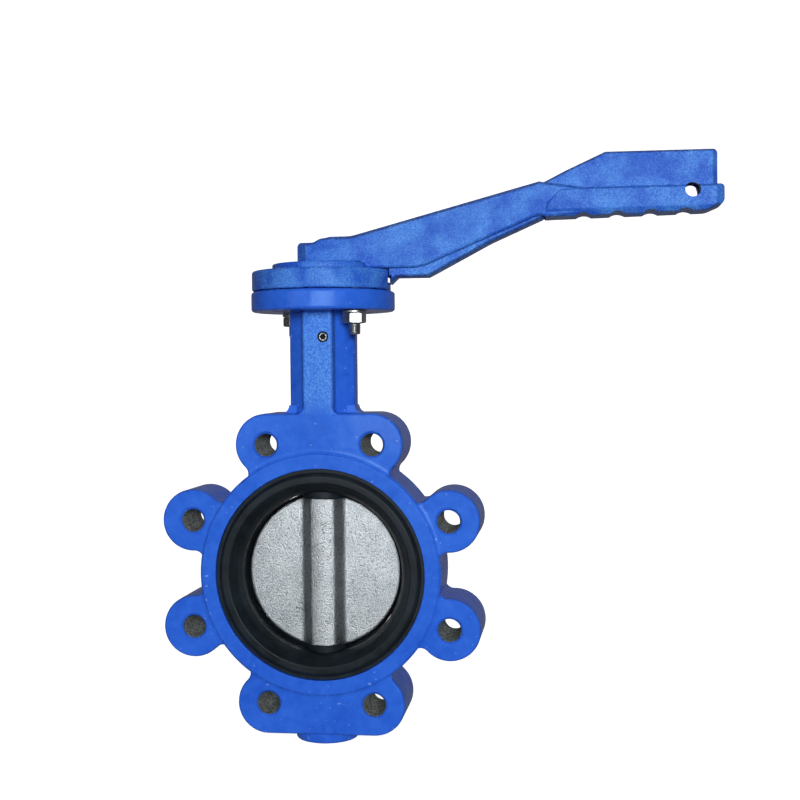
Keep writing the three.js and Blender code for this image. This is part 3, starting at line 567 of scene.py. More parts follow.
def glossy_paint():
    """Epoxy over a well-cast surface: orange peel, slow tone changes, small specks. The neck's
    pad, between its two ends in height and its two sides, is grainier and lighter; its light grains
    are painted glints that stand in for highlights."""
    s = Surface("blue_epoxy")
    patches = s.ramp(s.noise(34, 3), 0.36, 0.66, 0, 1)
    mottle = s.ramp(s.noise(5, 3), 0.3, 0.7, 0, 0.6)
    tone = s.mix(patches, srgb(32, 84, 196), srgb(42, 96, 208))
    specks = s.ramp(s.noise(2.8, 2), 0.7, 0.76, 0, 0.5)
    colour = s.mix(specks, s.mix(mottle, tone, srgb(50, 106, 218)), srgb(150, 184, 240))
    z = s.along("Z")
    on_neck = s.math("MULTIPLY", s.ramp(z, 0.1, 0.113, 0, 1), s.ramp(z, 0.166, 0.1685, 1, 0))
    across = s.math("ABSOLUTE", s.along("X"), 0.0)
    on_pad = s.math("MULTIPLY", on_neck, s.ramp(across, 0.0095, 0.0105, 1, 0))
    # the pad's grain is real casting, and its light grains are painted glints standing in for
    # highlights
    grain = s.ramp(s.noise(0.9, 2, 0.5), 0.4, 0.62, 0, 1)
    on_casting = s.mix(grain, srgb(52, 106, 208), srgb(84, 142, 226))
    colour = s.mix(s.math("MULTIPLY", on_pad, 0.85), colour, on_casting)
    peel = s.noise(2.6, 2)
    cast = s.noise(1.9, 3, 0.62)
    rise = s.math("ADD", s.math("MULTIPLY", peel, 0.3),
                  s.math("MULTIPLY", cast, s.math("MULTIPLY", on_pad, 3)))
    waves = s.bump(s.noise(15, 2), 0.7, 0.45, s.soft_edges(0.7))
    s.set(Base_Color=colour, Normal=s.bump(rise, 0.24, 0.7, waves), Metallic=0.0,
          Roughness=s.ramp(s.noise(9, 3), 0.3, 0.7, 0.16, 0.3), Coat_Weight=0.09,
          Coat_Roughness=0.08, Specular_IOR_Level=0.25, Specular_Tint=PAINT_TINT)
    return s.material


def cast_paint():
    """Epoxy over a rough sand casting: grains, hollows, a mottled tone and painted glints, light
    specks on the grains that stand in for highlights.
    """
    s = Surface("blue_epoxy_on_casting")
    grains = s.noise(0.75, 2, 0.5)
    hollows = s.noise(5, 2)
    patches = s.ramp(s.noise(16, 4, 0.55), 0.38, 0.62, 0, 1)
    tone = s.mix(patches, srgb(30, 82, 192), srgb(58, 118, 214))
    # painted glints: light blue specks on the grains, put in the base colour in place of highlights
    painted_glints = s.math("MULTIPLY", s.ramp(grains, 0.5, 0.64, 0, 1), s.ramp(patches, 0, 1, 0.15, 0.5))
    light = s.mix(painted_glints, tone, srgb(118, 176, 236))
    colour = s.mix(s.ramp(grains, 0.36, 0.46, 0.45, 0), light, srgb(20, 64, 170))
    coarse = s.bump(hollows, 0.6, 0.6, s.soft_edges(0.8))
    s.set(Base_Color=colour, Normal=s.bump(grains, 0.5, 1.0, coarse), Metallic=0.0,
          Roughness=s.ramp(s.noise(3, 3), 0.3, 0.7, 0.2, 0.36), Coat_Weight=0.08,
          Coat_Roughness=0.14, Specular_IOR_Level=0.36, Specular_Tint=PAINT_TINT)
    return s.material


def bare_thread():
    """The unpainted thread in the bolt holes: dark, dusty, with traces of rust and primer."""
    s = Surface("bare_iron_thread")
    dirt = s.ramp(s.noise(1.6, 4, 0.65), 0.35, 0.66, 0, 1)
    rust = s.ramp(s.noise(6, 3), 0.5, 0.75, 0, 0.7)
    tone = s.mix(dirt, srgb(56, 62, 64), srgb(140, 146, 144))
    colour = s.mix(rust, tone, srgb(84, 66, 50))
    s.set(Base_Color=colour, Normal=s.bump(s.noise(0.8, 3), 0.3, 0.8), Metallic=0.3,
          Roughness=s.ramp(dirt, 0, 1, 0.75, 0.45))
    return s.material


def black_rubber():
    """Moulded EPDM with a faint bloom."""
    s = Surface("black_epdm")
    bloom = s.ramp(s.noise(14, 4, 0.6), 0.35, 0.7, 0, 1)
    colour = s.mix(bloom, srgb(14, 21, 26), srgb(26, 35, 42))
    fine = s.bump(s.noise(0.7, 3), 0.06, 0.6)
    s.set(Base_Color=colour, Normal=s.bump(s.noise(6, 2), 0.15, 0.3, fine), Metallic=0.0,
          Roughness=s.ramp(s.noise(7, 3), 0.3, 0.7, 0.3, 0.48), Specular_IOR_Level=0.22)
    return s.material


def cast_stainless():
    """Bright, blasted stainless casting; the bevel beyond the cast face is turned smooth."""
    s = Surface("cast_stainless")
    flat = s.add("CombineXYZ", {"X": s.along("X"), "Z": s.along("Z")})
    reach = s.add("VectorMath", {0: flat.outputs[0]}, operation="LENGTH").outputs["Value"]
    machined = s.ramp(reach, (DISC_CAST_R - 0.4) * MM, (DISC_CAST_R + 0.2) * MM, 0, 1)
    grain = s.noise(0.95, 3, 0.65)
    pits = s.ramp(s.noise(2.4, 3), 0.24, 0.4, 0, 1)
    rise = s.math("ADD", grain, s.math("MULTIPLY", pits, 0.5))
    patches = s.ramp(s.noise(12, 4), 0.3, 0.7, 0, 1)
    tone = s.mix(patches, srgb(194, 202, 207), srgb(220, 227, 231))
    colour = s.mix(s.ramp(grain, 0.34, 0.5, 0.65, 0), tone, srgb(84, 90, 96))
    strength = s.ramp(machined, 0, 1, 1, 0.05)
    s.set(Base_Color=colour, Metallic=1.0, Normal=s.bump(rise, 0.4, strength),
          Roughness=s.ramp(machined, 0, 1, 0.36, 0.26))
    return s.material


def plain_metal(name, dark, light, rough_low, rough_high, grain_mm, grain_depth, stretch=None):
    """Bare or plated metal with fine tool or drawing marks and slow stains."""
    s = Surface(name)
    stains = s.ramp(s.noise(5, 4, 0.6), 0.3, 0.7, 0, 1)
    marks = s.noise(grain_mm, 3, 0.6, stretch)
    s.set(Base_Color=s.mix(stains, dark, light), Metallic=1.0,
          Roughness=s.ramp(marks, 0.3, 0.7, rough_low, rough_high),
          Normal=s.bump(marks, grain_depth, 0.5, s.soft_edges(0.25)))
    return s.material


BLUE = glossy_paint()
CAST_BLUE = cast_paint()
THREAD = bare_thread()
RUBBER = black_rubber()
STAINLESS = cast_stainless()
ZINC = plain_metal("bright_zinc", srgb(158, 163, 166), srgb(194, 198, 200), 0.2, 0.36, 0.6, 0.03)
STEM_STEEL = plain_metal(
    "turned_steel", srgb(150, 154, 158), srgb(190, 194, 197), 0.2, 0.34, 0.5, 0.04, (1, 1, 12))
SPRING_STEEL = plain_metal(
    "spring_wire", srgb(110, 114, 120), srgb(160, 164, 168), 0.22, 0.36, 0.5, 0.03)
# painted shade: near-black metal for the set screw's hex socket, standing in for the shade inside it
SOCKET_SHADE_METAL = plain_metal(
    "socket_painted_shade", srgb(18, 20, 22), srgb(40, 43, 46), 0.4, 0.6, 0.5, 0.03)
BRONZE = plain_metal("bronze", srgb(150, 112, 66), srgb(196, 156, 98), 0.28, 0.44, 0.5, 0.03)

# ---------------------------------------------------------------- body casting


def lug_angles():
    step = 360 / LUG_COUNT
    return [(i + 0.5) * step for i in range(LUG_COUNT)]


def bearing(origin, target):
    return math.degrees(math.atan2(target[1] - origin[1], target[0] - origin[0]))


def arc_points(centre, radius, start, end, direction):
    """Points along an arc, angles in degrees, direction 1 anticlockwise or -1 clockwise."""
    sweep = direction * ((end - start) * direction % 360)
    steps = max(2, math.ceil(abs(sweep) / 5))
    around = [polar(radius, start + sweep * k / steps) for k in range(steps + 1)]
    return [Vector((centre[0] + x, centre[1] + y)) for x, y in around]


def lug_outline():
    """Eight ears, filleted to the drum between them, with a straight edge over each end pair."""
    fillet_centre_r = VALLEY_R + VALLEY_FILLET_R
    cosine = (LUG_CIRCLE_R**2 + fillet_centre_r**2 - (LUG_R + VALLEY_FILLET_R) ** 2) / (
        2 * LUG_CIRCLE_R * fillet_centre_r
    )
    fillet_angle = math.degrees(math.acos(cosine))
    points = []
    for lug in lug_angles():
        ear = polar(LUG_CIRCLE_R, lug)
        before = polar(fillet_centre_r, lug - fillet_angle)
        after = polar(fillet_centre_r, lug + fillet_angle)
        flat = 90 if lug < 180 else 270
        flat_after = lug % 180 == TOP_LUG_ANGLE
        flat_before = lug % 180 == 180 - TOP_LUG_ANGLE
        start = flat if flat_before else bearing(ear, before)
        end = flat if flat_after else bearing(ear, after)
        if not flat_before:
            points += arc_points(before, VALLEY_FILLET_R, lug - fillet_angle + 180, start + 180, -1)
        points += arc_points(ear, LUG_R, start, end, 1)
        if not flat_after:
            points += arc_points(after, VALLEY_FILLET_R, end + 180, lug + fillet_angle + 180, -1)
    return [p for i, p in enumerate(points) if (p - points[i - 1]).length > 0.05]


def neck_outline():
    """Section of the neck: a broad web with leaning flanks, and a narrow pad at front and rear."""
    w, d, p, f = NECK_HALF_WIDTH, NECK_HALF_DEPTH, PAD_HALF_WIDTH, LUG_HALF_DEPTH
    quarter = [(w, NECK_FLANK_LEAN - d, 4), (p, -d - NECK_FLANK_LEAN, 2.2), (p - 0.3, -f, 2)]
    front = quarter + [(-x, y, r) for x, y, r in quarter[::-1]]
    return rounded(front + [(-x, -y, r) for x, y, r in front])


def foot_fillet(half_width, radius, half_depth):
    """Blends a wall standing on the straight edge of the top lugs into that edge."""
    top = polar(LUG_CIRCLE_R, TOP_LUG_ANGLE)[1] + LUG_R
    w = half_width + radius
    outline = rounded([
        (w, top - 2), (w, top), (half_width, top, radius), (half_width, top + radius),
        (-half_width, top + radius), (-half_width, top, radius), (-w, top), (-w, top - 2)])
    return slab(outline, -half_depth, half_depth)


def ring_foot(side):
    """The hollow blend where the raised ring rises out of the lug faces."""
    r, face = RING_FOOT_R, LUG_HALF_DEPTH
    profile = [(DRUM_R - 1, face - 1), (DRUM_R + r, face - 1)]
    height = DRUM_HALF_DEPTH - face
    for k in range(7):
        angle = math.radians(15 * k)
        climb = height * (1 - math.cos(angle)) * 0.35
        profile.append((DRUM_R + r * (1 - math.sin(angle)), face + climb))
    profile.append((DRUM_R - 1, profile[-1][1]))
    return place(turned(profile, ROUND, True), ("X", -90 if side > 0 else 90))


def lug_hole(degrees):
    """The tool that cuts a threaded bolt hole."""
    x, z = polar(LUG_CIRCLE_R, degrees)
    face = LUG_HALF_DEPTH
    crest = BOLT_HOLE_R
    root = crest + BOLT_THREAD_DEPTH
    tool = threaded(crest, root, BOLT_THREAD_PITCH, -face - 1, face + 1, 40, THREAD)
    return place(along_y(tool), at=(x, 0, z))


def lug_chamfer(degrees, side):
    """The tool that cuts a bolt hole's small painted chamfer at one face."""
    x, z = polar(LUG_CIRCLE_R, degrees)
    root = BOLT_HOLE_R + BOLT_THREAD_DEPTH
    face, depth = LUG_HALF_DEPTH, BOLT_CHAMFER + 0.3
    profile = [
        (0, face - depth - 1), (root - 1, face - depth - 1), (root + depth + 0.5, face + 0.5),
        (0, face + 0.5)]
    return place(turned(profile, 40, False, BLUE), ("X", -90 * side), (x, 0, z))


def flange_holes():
    holes = []
    for degrees in (45, 135, 225, 315):
        x, y = polar(FLANGE_BOLT_R, degrees)
        hole = cylinder(FLANGE_HOLE_R, FLANGE_BOTTOM_Z - 1, FLANGE_TOP_Z + 1)
        holes.append(place(hole, at=(x, y, 0)))
    return holes


def neck_collar():
    """A short filleted collar where the neck meets the underside of the flange."""
    z, inner, outer = FLANGE_BOTTOM_Z, 11.5, 15
    profile = rounded([
        (0, z - 3), (inner, z - 3), (inner, z, 2.6), (outer, z), (outer, z + 1), (0, z + 1)])
    return turned(profile, SMALL_ROUND)


def make_body():
    outline = lug_outline()
    face, depth = LUG_HALF_DEPTH, DRUM_HALF_DEPTH
    body = slab(outline, -face, face, "xz", LUG_EDGE_R, 2, EDGE_LEAN)
    within = [slab(inset(outline, LUG_EDGE_R), -depth - 2, depth + 2) for _ in range(2)]
    feet = [keep(ring_foot(side), within[i]) for i, side in enumerate((1, -1))]
    rim = [(DRUM_R - 1.4, depth, 0.5), (DRUM_R, face, 0.6)]
    profile = [(0, depth), *rim, *[(r, -y, fillet) for r, y, fillet in rim[::-1]], (0, -depth)]
    drum = along_y(turned(rounded(profile, 15)))
    neck = slab(neck_outline(), NECK_BOTTOM_Z, FLANGE_BOTTOM_Z + 2, "xy")
    boss = disc_blank(BOTTOM_BOSS_R, BOTTOM_BOSS_Z, -NECK_BOTTOM_Z, 1.8)
    flange = disc_blank(FLANGE_R, FLANGE_BOTTOM_Z, FLANGE_TOP_Z, 2)
    join(body, *feet, drum, neck, boss, flange, neck_collar(),
         foot_fillet(NECK_HALF_WIDTH, FOOT_FILLET_R, NECK_HALF_DEPTH - 0.5),
         foot_fillet(PAD_HALF_WIDTH, PAD_FILLET_R, LUG_HALF_DEPTH - 0.3))
    body.data.materials.clear()
    body.data.materials.append(BLUE)
    recess = depth + 2
    screw_bore = along_y(cylinder(LOCK_SCREW_R + 0.5, 0, face + 1, 32, THREAD))
    tools = [
        along_y(cylinder(BODY_BORE_R, -recess, recess, ROUND)),
        along_y(cylinder(LINER_RECESS_R, LINER_RECESS_Y, recess, ROUND)),
        along_y(cylinder(LINER_RECESS_R, -recess, -LINER_RECESS_Y, ROUND)),
        cylinder(STEM_BORE_R, 0, FLANGE_TOP_Z + 1),
        cylinder(STEM_BORE_R, LOWER_BORE_Z, 0),
        place(screw_bore, ("Z", 180), (LOCK_SCREW_X, 0, LOCK_SCREW_Z)),
        *flange_holes(),
    ]
    cut(body, *tools)
    cut(body, *[lug_hole(degrees) for degrees in lug_angles()])
    cut(body, *[lug_chamfer(degrees, side) for degrees in lug_angles() for side in (1, -1)])
    piece(body, "body_casting", "valve_fixed", ["valve_body"], [])


# ---------------------------------------------------------------- seat liner


def make_liner():
    """Rubber channel round the inside of the body, with a rounded sealing lip on each face and a
    round pad at each stem hole. Its profile is (radius, y, rounding)."""
    gap = CLEARANCE
    half = [
        (LINER_BORE_R, 14.5, 8), (54.4, 20, 6), (57.2, 23.6, 2.4), (58.8, LINER_FACE_Y, 1.6),
        (63.4, LINER_FACE_Y, 2), (65.4, 24, 1), (65.5, 22.4), (67.5, 22.4),
        (67.5, LINER_RECESS_Y + gap), (BODY_BORE_R - gap, LINER_RECESS_Y + gap)]
    corners = half + [(r, -y, *rest) for r, y, *rest in half[::-1]]
    liner = along_y(turned(rounded(corners, 12), ROUND, True))
    root, face, pad_r = LINER_BORE_R + 3, DISC_HUB_END_Z + gap, DISC_HUB_R - gap
    join(liner, disc_blank(pad_r, face, root, 0.5), disc_blank(pad_r, -root, -face, 0.5))
    cut(liner, cylinder(STEM_R + gap, -70, 70))
    piece(liner, "rubber_seat", "valve_fixed", ["seat_liner"], [RUBBER], 40)


# ---------------------------------------------------------------- disc


def smooth_step(value, low, high):
    share = min(1, max(0, (value - low) / (high - low)))
    return share * share * (3 - 2 * share)


def disc_height(x, z):
    """Half thickness of the disc at a point of its face: cast face, boss and turned bevel."""
    reach, across = math.hypot(x, z), abs(x)
    if reach < DISC_CAST_R:
        plate = DISC_HALF_THICKNESS + (DISC_EDGE_HALF - DISC_HALF_THICKNESS) * reach / DISC_CAST_R
    else:
        share = (reach - DISC_CAST_R) / (DISC_BEVEL_R - DISC_CAST_R)
        edge = DISC_EDGE_HALF - DISC_STEP
        plate = max(edge + (DISC_RIM_HALF - edge) * share, DISC_RIM_HALF)
    crown = DISC_BOSS_HEIGHT - DISC_BOSS_FALL * across**2
    share = min(1, max(0, (across - DISC_BOSS_CROWN) / (DISC_BOSS_HALF_WIDTH - DISC_BOSS_CROWN)))
    share = 0.1 * share + 0.9 * smooth_step(share, 0, 1)
    boss = crown + (plate - crown) * share
    envelope = math.sqrt(max(DISC_R**2 - reach**2, 0))
    return min(boss, envelope)


def make_disc():
    """Both cast faces as one fine polar grid each, closed by the spherical rim."""
    half = DISC_RIM_HALF - DISC_STEP
    rim_reach = math.sqrt(DISC_R**2 - half**2)
    reaches = [DISC_CAST_R * (k + 1) / DISC_RINGS for k in range(DISC_RINGS)]
    reaches += [DISC_CAST_R + 0.15, 50.2, 50.7, DISC_BEVEL_R, rim_reach]
    rows = [[(0, disc_height(0, 0), 0)]]
    rows += [ring_row(r, disc_height) for r in reaches]
    for share in (0.5, 0, -0.5):
        y = half * share
        rows.append(ring_row(math.sqrt(DISC_R**2 - y * y), lambda x, z, y=y: y))
    rows += [ring_row(r, lambda x, z: -disc_height(x, z)) for r in reversed(reaches)]
    rows.append([(0, -disc_height(0, 0), 0)])
    disc = from_rows(rows)
    socket = STEM_SQUARE / 2 + CLEARANCE
    cut(disc, block(-socket, socket, -socket, socket, TANG_FOOT_Z - 1, DISC_R + 2),
        cylinder(STEM_R + CLEARANCE, -DISC_R - 2, LOWER_STEM_TOP_Z + 1),
        cylinder(DISC_HUB_R, DISC_HUB_END_Z, DISC_R + 2),
        cylinder(DISC_HUB_R, -DISC_R - 2, -DISC_HUB_END_Z))
    piece(disc, "disc_casting", "stem_and_lever", ["disc"], [STAINLESS], 50)


def ring_row(reach, height):
    """A ring of points on the disc's face, at the height that a function of (x, z) gives."""
    row = []
    for i in range(DISC_SIDES):
        x, z = polar(reach, 360 * i / DISC_SIDES)
        row.append((x, height(x, z), z))
    return row


# ---------------------------------------------------------------- notch plate


def plate_wedge():
    """The sector over which the rim is turned down for the trigger's heel."""
    first, last = -NOTCHED_MARGIN, 90 + NOTCHED_MARGIN
    angles = (first, (first + last) / 2, last)
    return [Vector((0, 0))] + [Vector(polar(2 * PLATE_R, degrees)) for degrees in angles]


def make_notch_plate():
    plate = disc_blank(PLATE_R, PLATE_BOTTOM_Z, PLATE_TOP_Z, 1.6)
    sector = disc_blank(SECTOR_R, PLATE_TOP_Z - 2, SECTOR_TOP_Z, 1)
    cut(sector, block(-STOP_FACE, 60, -STOP_FACE, 60, PLATE_TOP_Z - 4, SECTOR_TOP_Z + 1))
    seat = disc_blank(SEAT_R, PLATE_TOP_Z - 2, SECTOR_TOP_Z, 0.6)
    join(plate, sector, seat)
    low, high = PLATE_BOTTOM_Z - 1, PLATE_TOP_Z + 1
    cut(plate, cut(
        slab(plate_wedge(), low, PLATE_TOP_Z, "xy"),
        disc_blank(NOTCHED_RIM_R, low - 1, PLATE_TOP_Z, 1.2),
        cylinder(NOTCHED_FOOT_R, low - 1, NOTCHED_FOOT_Z, ROUND)))
    tools = [cylinder(SPIGOT_R + 0.4, low, SECTOR_TOP_Z + 1)]
    for degrees in STUD_ANGLES.values():
        x, y = polar(FLANGE_BOLT_R, degrees)
        tools.append(place(cylinder(M8_R + 0.2, low, STUD_BORE_TOP_Z), at=(x, y, 0)))
    for i in range(NOTCH_COUNT):
        half = NOTCH_WIDTH / 2
        notch = block(NOTCH_ROOT_R, PLATE_R + 2, -half, half, NOTCH_FLOOR_Z, high)
        tools.append(place(notch, ("Z", 90 * i / (NOTCH_COUNT - 1))))
    cut(plate, *tools)
    piece(plate, "plate_casting", "valve_fixed", ["notch_plate"], [CAST_BLUE])


# ---------------------------------------------------------------- lever


def arm_outline(drop=0):
    """Side view of the hub and arm, with the underside lowered by drop."""
    hub_back = [(HUB_BACK_X, HUB_BOTTOM_Z - drop), (HUB_BACK_X, HUB_STEP_Z, 3.2)]
    hub_top = [(-5.5, HUB_STEP_Z, 6), (-0.5, HUB_TOP_Z, 8), (20, HUB_TOP_Z, 25)]
    inside_grip = [ARM_TOP_END, (176, 243.6), (176, 228 - drop), (146, 226 - drop)]
    bend = [(141.6, 227.8 - drop, 10), (69, 197.4 - drop, 12)]
    foot_z = 195.9 - drop
    foot = [(63, foot_z, 6), (26, foot_z), (26, HUB_BOTTOM_Z - drop)]
    return rounded(hub_back + hub_top + inside_grip + bend + foot, 4)


def grip_bottom(x):
    return GRIP_BOTTOM_Z + (x - GRIP_FRONT_X) * GRIP_BOTTOM_SLOPE


def grip_outline():
    return rounded([
        (GRIP_FRONT_X, grip_bottom(GRIP_FRONT_X)), (145.2, 235, 8), (154, GRIP_TOP_Z, 9),
        (GRIP_END_X, GRIP_TOP_Z, 2.2), (GRIP_END_X, 232.4, 5), (245, grip_bottom(245), 12)], 5)


def grip_section():
    w, low = GRIP_HALF_WIDTH, GRIP_BOTTOM_Z - 0.6
    return rounded([
        (-w, 260), (-w, 230.4, 2.5), (-9.6, low, 4), (9.6, low, 4), (w, 230.4, 2.5), (w, 260)])


def lever_cavity():
    """Where the trigger lives: open below along the arm, open above along the grip."""
    x, z = ARM_TOP_END
    return rounded([
        (30, 180), (30, 215.5, 3), (x + 0.2, z - ROOF_THICKNESS), (x + 0.2, 275),
        (CAVITY_END_X, 275), (CAVITY_END_X, GRIP_FLOOR_Z, 2), (145, GRIP_FLOOR_Z), (145, 180)])


def make_lever():
    w, cavity = GRIP_HALF_WIDTH, CAVITY_HALF_WIDTH
    plan = rounded([
        (HUB_BEVEL_X, -w), (HUB_BACK_X, -HUB_BACK_HALF_WIDTH, 2),
        (HUB_BACK_X, HUB_BACK_HALF_WIDTH, 2), (HUB_BEVEL_X, w), (GRIP_END_X - 5, w, 1.5),
        (GRIP_END_X, w - 6, 1.5), (GRIP_END_X, 6 - w, 1.5), (GRIP_END_X - 5, -w, 1.5)])
    half = ARM_HALF_WIDTH
    lever = slab(arm_outline(6), -half, half, "xz", ARM_TOP_EDGE, 1, EDGE_LEAN)
    keep(lever, slab(arm_outline(), -half, half, "xz", ARM_FOOT_EDGE))
    grip = slab(grip_outline(), -w, w, "xz", 1.6, 1, EDGE_LEAN)
    keep(grip, slab(grip_section(), 140, GRIP_END_X + 2, "yz"))
    join(lever, grip)
    keep(lever, slab(plan, 190, 260, "xy"))
    join(lever, cylinder(SPIGOT_R, SPIGOT_BOTTOM_Z, HUB_BOTTOM_Z + 1))
    tools = [slab(lever_cavity(), -cavity, cavity)]
    for i in range(4):
        x = SCALLOP_FIRST_X + i * SCALLOP_PITCH
        z = grip_bottom(x) + SCALLOP_DEPTH - SCALLOP_R
        tools.append(place(along_y(cylinder(SCALLOP_R, -20, 20)), at=(x, 0, z)))
    socket = STEM_SQUARE / 2 + CLEARANCE
    tools += [
        block(-socket, socket, -socket, socket, SPIGOT_BOTTOM_Z - 1, HUB_SEAT_Z + 1),
        cylinder(HUB_SEAT_R, HUB_SEAT_Z, HUB_TOP_Z + 10),
        place(along_y(cylinder(PADLOCK_R, -20, 20)), at=(PADLOCK_X, 0, PADLOCK_Z)),
        place(along_y(cylinder(PIVOT_R + 0.15, -11.1, 20)), at=(PIVOT_X, 0, PIVOT_Z)),
    ]
    cut(lever, *tools)
    piece(lever, "lever_casting", "stem_and_lever", ["lever"], [CAST_BLUE])


# ---------------------------------------------------------------- trigger and spring


def trigger_outline():
    """Side view: the tip over the notches, the heel, the bar under the arm, and the palm plate."""
    end, bar = TRIGGER_END_X, BAR_BOTTOM_Z
    tip = [(TRIGGER_TIP_X, 199.2), (HEEL_X, 199.2, 0.8), (HEEL_X, bar)]
    heel = [(HEEL_FOOT_X, bar), (HEEL_FOOT_X, HEEL_FOOT_Z), (HEEL_FOOT_X + 4.5, bar)]
    bar_foot = [(69.8, bar, 2), (110, 211.2, 12), (143.4, 225.8), (143.4, 233.2)]
    palm = [(end, 236.8), (end, 266.3, 3), (182.6, 266.5, 3), (157.6, 255.3, 10)]
    joint = [(143.7, 248.4, 1.6), (143.6, 243.2), (136, 240.8)]
    bar_top = [(52, 214, 6), (TRIGGER_TIP_X, 206)]
    return rounded(tip + heel + bar_foot + palm + joint + bar_top, 5)


def make_trigger():
    half, inner = TRIGGER_HALF_WIDTH, TRIGGER_HALF_WIDTH - TRIGGER_WALL
    tip = TRIGGER_TIP_X - 2
    plan = rounded([
        (tip, -half), (TRIGGER_END_X - 3, -half, 0.8), (TRIGGER_END_X, 3.8 - half, 0.8),
        (TRIGGER_END_X, half - 3.8, 0.8), (TRIGGER_END_X - 3, half, 0.8), (tip, half)])
    trigger = slab(trigger_outline(), -half, half, "xz", 1.5, 1, EDGE_LEAN)
    keep(trigger, slab(plan, 180, 270, "xy"))
    tooth = block(TRIGGER_TIP_X + 0.3, HEEL_X + 2, -TOOTH_HALF_WIDTH, TOOTH_HALF_WIDTH,
                  TOOTH_TIP_Z, TOOTH_TIP_Z + 5)
    join(trigger, tooth)
    trough = rounded([(58, 230), (58, 199, 2), (72, 199, 4), (128, 226, 4), (128, 250)])
    pocket = rounded([
        (150, 225), (150, 246.6, 2), (182, PALM_UNDERSIDE_Z, 2), (247.6, PALM_UNDERSIDE_Z, 2),
        (247.6, 225)])
    x, z, r = PADLOCK_X, PADLOCK_Z, PADLOCK_R
    padlock_notch = rounded([
        (x - r, 230), (x + r, 230), (x + r, z + r, r - 0.01), (x - r, z + r, r - 0.01)])
    cut(trigger, slab(trough, -inner, inner), slab(pocket, -inner, inner),
        slab(padlock_notch, -20, 20),
        place(along_y(cylinder(PIVOT_R + 0.3, -20, 20)), at=(PIVOT_X, 0, PIVOT_Z)))
    piece(trigger, "trigger_casting", "trigger_lever", ["trigger"], [CAST_BLUE])


def make_spring():
    """Coil with its end turns closed up, between the grip's floor and the palm plate."""
    foot = GRIP_FLOOR_Z + SPRING_WIRE_R + 0.2
    top = PALM_UNDERSIDE_Z - SPRING_WIRE_R - 0.2
    steps, sides = SPRING_TURNS * 32, 12
    rows = []
    for k in range(steps + 1):
        share = k / steps
        angle = 2 * math.pi * SPRING_TURNS * share
        climb = smooth_step(share, 0.08, 0.92) * 0.5 + share * 0.5
        centre = Vector((SPRING_COIL_R * math.cos(angle), SPRING_COIL_R * math.sin(angle),
                         foot + (top - foot) * climb))
        outward = Vector((math.cos(angle), math.sin(angle), 0))
        row = []
        for i in range(sides):
            c, s = polar(SPRING_WIRE_R, 360 * i / sides)
            row.append(tuple(centre + outward * c + Vector((0, 0, s))))
        if k == 0:
            rows.append([tuple(centre)])
        rows.append(row)
    rows.append([tuple(centre)])
    spring = place(from_rows(rows), at=(SPRING_X, 0, 0))
    made = piece(spring, "return_spring", "stem_and_lever", ["trigger_spring"],
                 [SPRING_STEEL], 60)
    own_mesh(made)


# ---------------------------------------------------------------- stem and fasteners


def make_upper_stem():
    half, edge = STEM_SQUARE / 2, 1
    groove = [(STEM_R, -2.6), (STEM_R - 1, -2.2), (STEM_R - 1, 2.2), (STEM_R, 2.6)]
    shaft = turned([
        (0, UPPER_STEM_FOOT_Z), (STEM_R, UPPER_STEM_FOOT_Z),
        *[(r, LOCK_SCREW_Z + z) for r, z in groove],
        (STEM_R, SQUARE_FOOT_Z - edge), (STEM_R - edge, SQUARE_FOOT_Z), (0, SQUARE_FOOT_Z)],
        SMALL_ROUND)
    square = rounded([(-half, -half, 0.9), (half, -half, 0.9), (half, half, 0.9), (-half, half, 0.9)])
    join(shaft, slab(square, TANG_FOOT_Z, UPPER_STEM_FOOT_Z + 1, "xy"),
         slab(square, SQUARE_FOOT_Z - 2, STEM_TOP_Z, "xy", 0.5))
    cut(shaft, cylinder(M8_R + 0.2, TAP_BOTTOM_Z, STEM_TOP_Z + 1, 48))
    piece(shaft, "stem_upper", "stem_and_lever", ["upper_stem"], [STEM_STEEL])


def make_hexagon_head(low, high):
    """A hexagon with its top corners chamfered by a cone."""
    r, corner = NUT_ACROSS_FLATS / 2, NUT_ACROSS_FLATS / math.sqrt(3) + 0.1
    slope = (corner - r) * 0.6
    envelope = turned([
        (0, low), (r, low), (corner, low + slope), (corner, high - slope), (r, high), (0, high)], 96)
    return keep(slab(hexagon(NUT_ACROSS_FLATS), low, high, "xy", 0.25, 2), envelope)


def make_stud():
    """Threaded below, where it shows under its nut, and plain above."""
    low, thread_top = STUD_FOOT_Z, 172
    point = [(0, low), (M8_R - 0.9, low), (M8_R - 0.5, low + 0.9), (0, low + 0.9)]
    return join(cylinder(M8_R, thread_top - 1, STUD_TOP_Z),
                threaded(M8_R - 0.65, M8_R, M8_PITCH, low + 0.6, thread_top),
                turned(point, 48))


def make_nut():
    foot = NUT_TOP_Z - NUT_HEIGHT
    lead_in = [(0, foot - 1), (5.2, foot - 1), (M8_R, foot + 1.1), (0, foot + 1.1)]
    nut = cut(make_hexagon_head(foot, NUT_TOP_Z), cylinder(M8_R + 0.1, foot - 2, NUT_TOP_Z + 2),
              turned(lead_in, 48))
    return place(nut, ("Z", NUT_TURN))


def make_washer(radius, low, high):
    return cut(disc_blank(radius, low, high, 0.35, 96), cylinder(WASHER_HOLE_R, low - 2, high + 2))


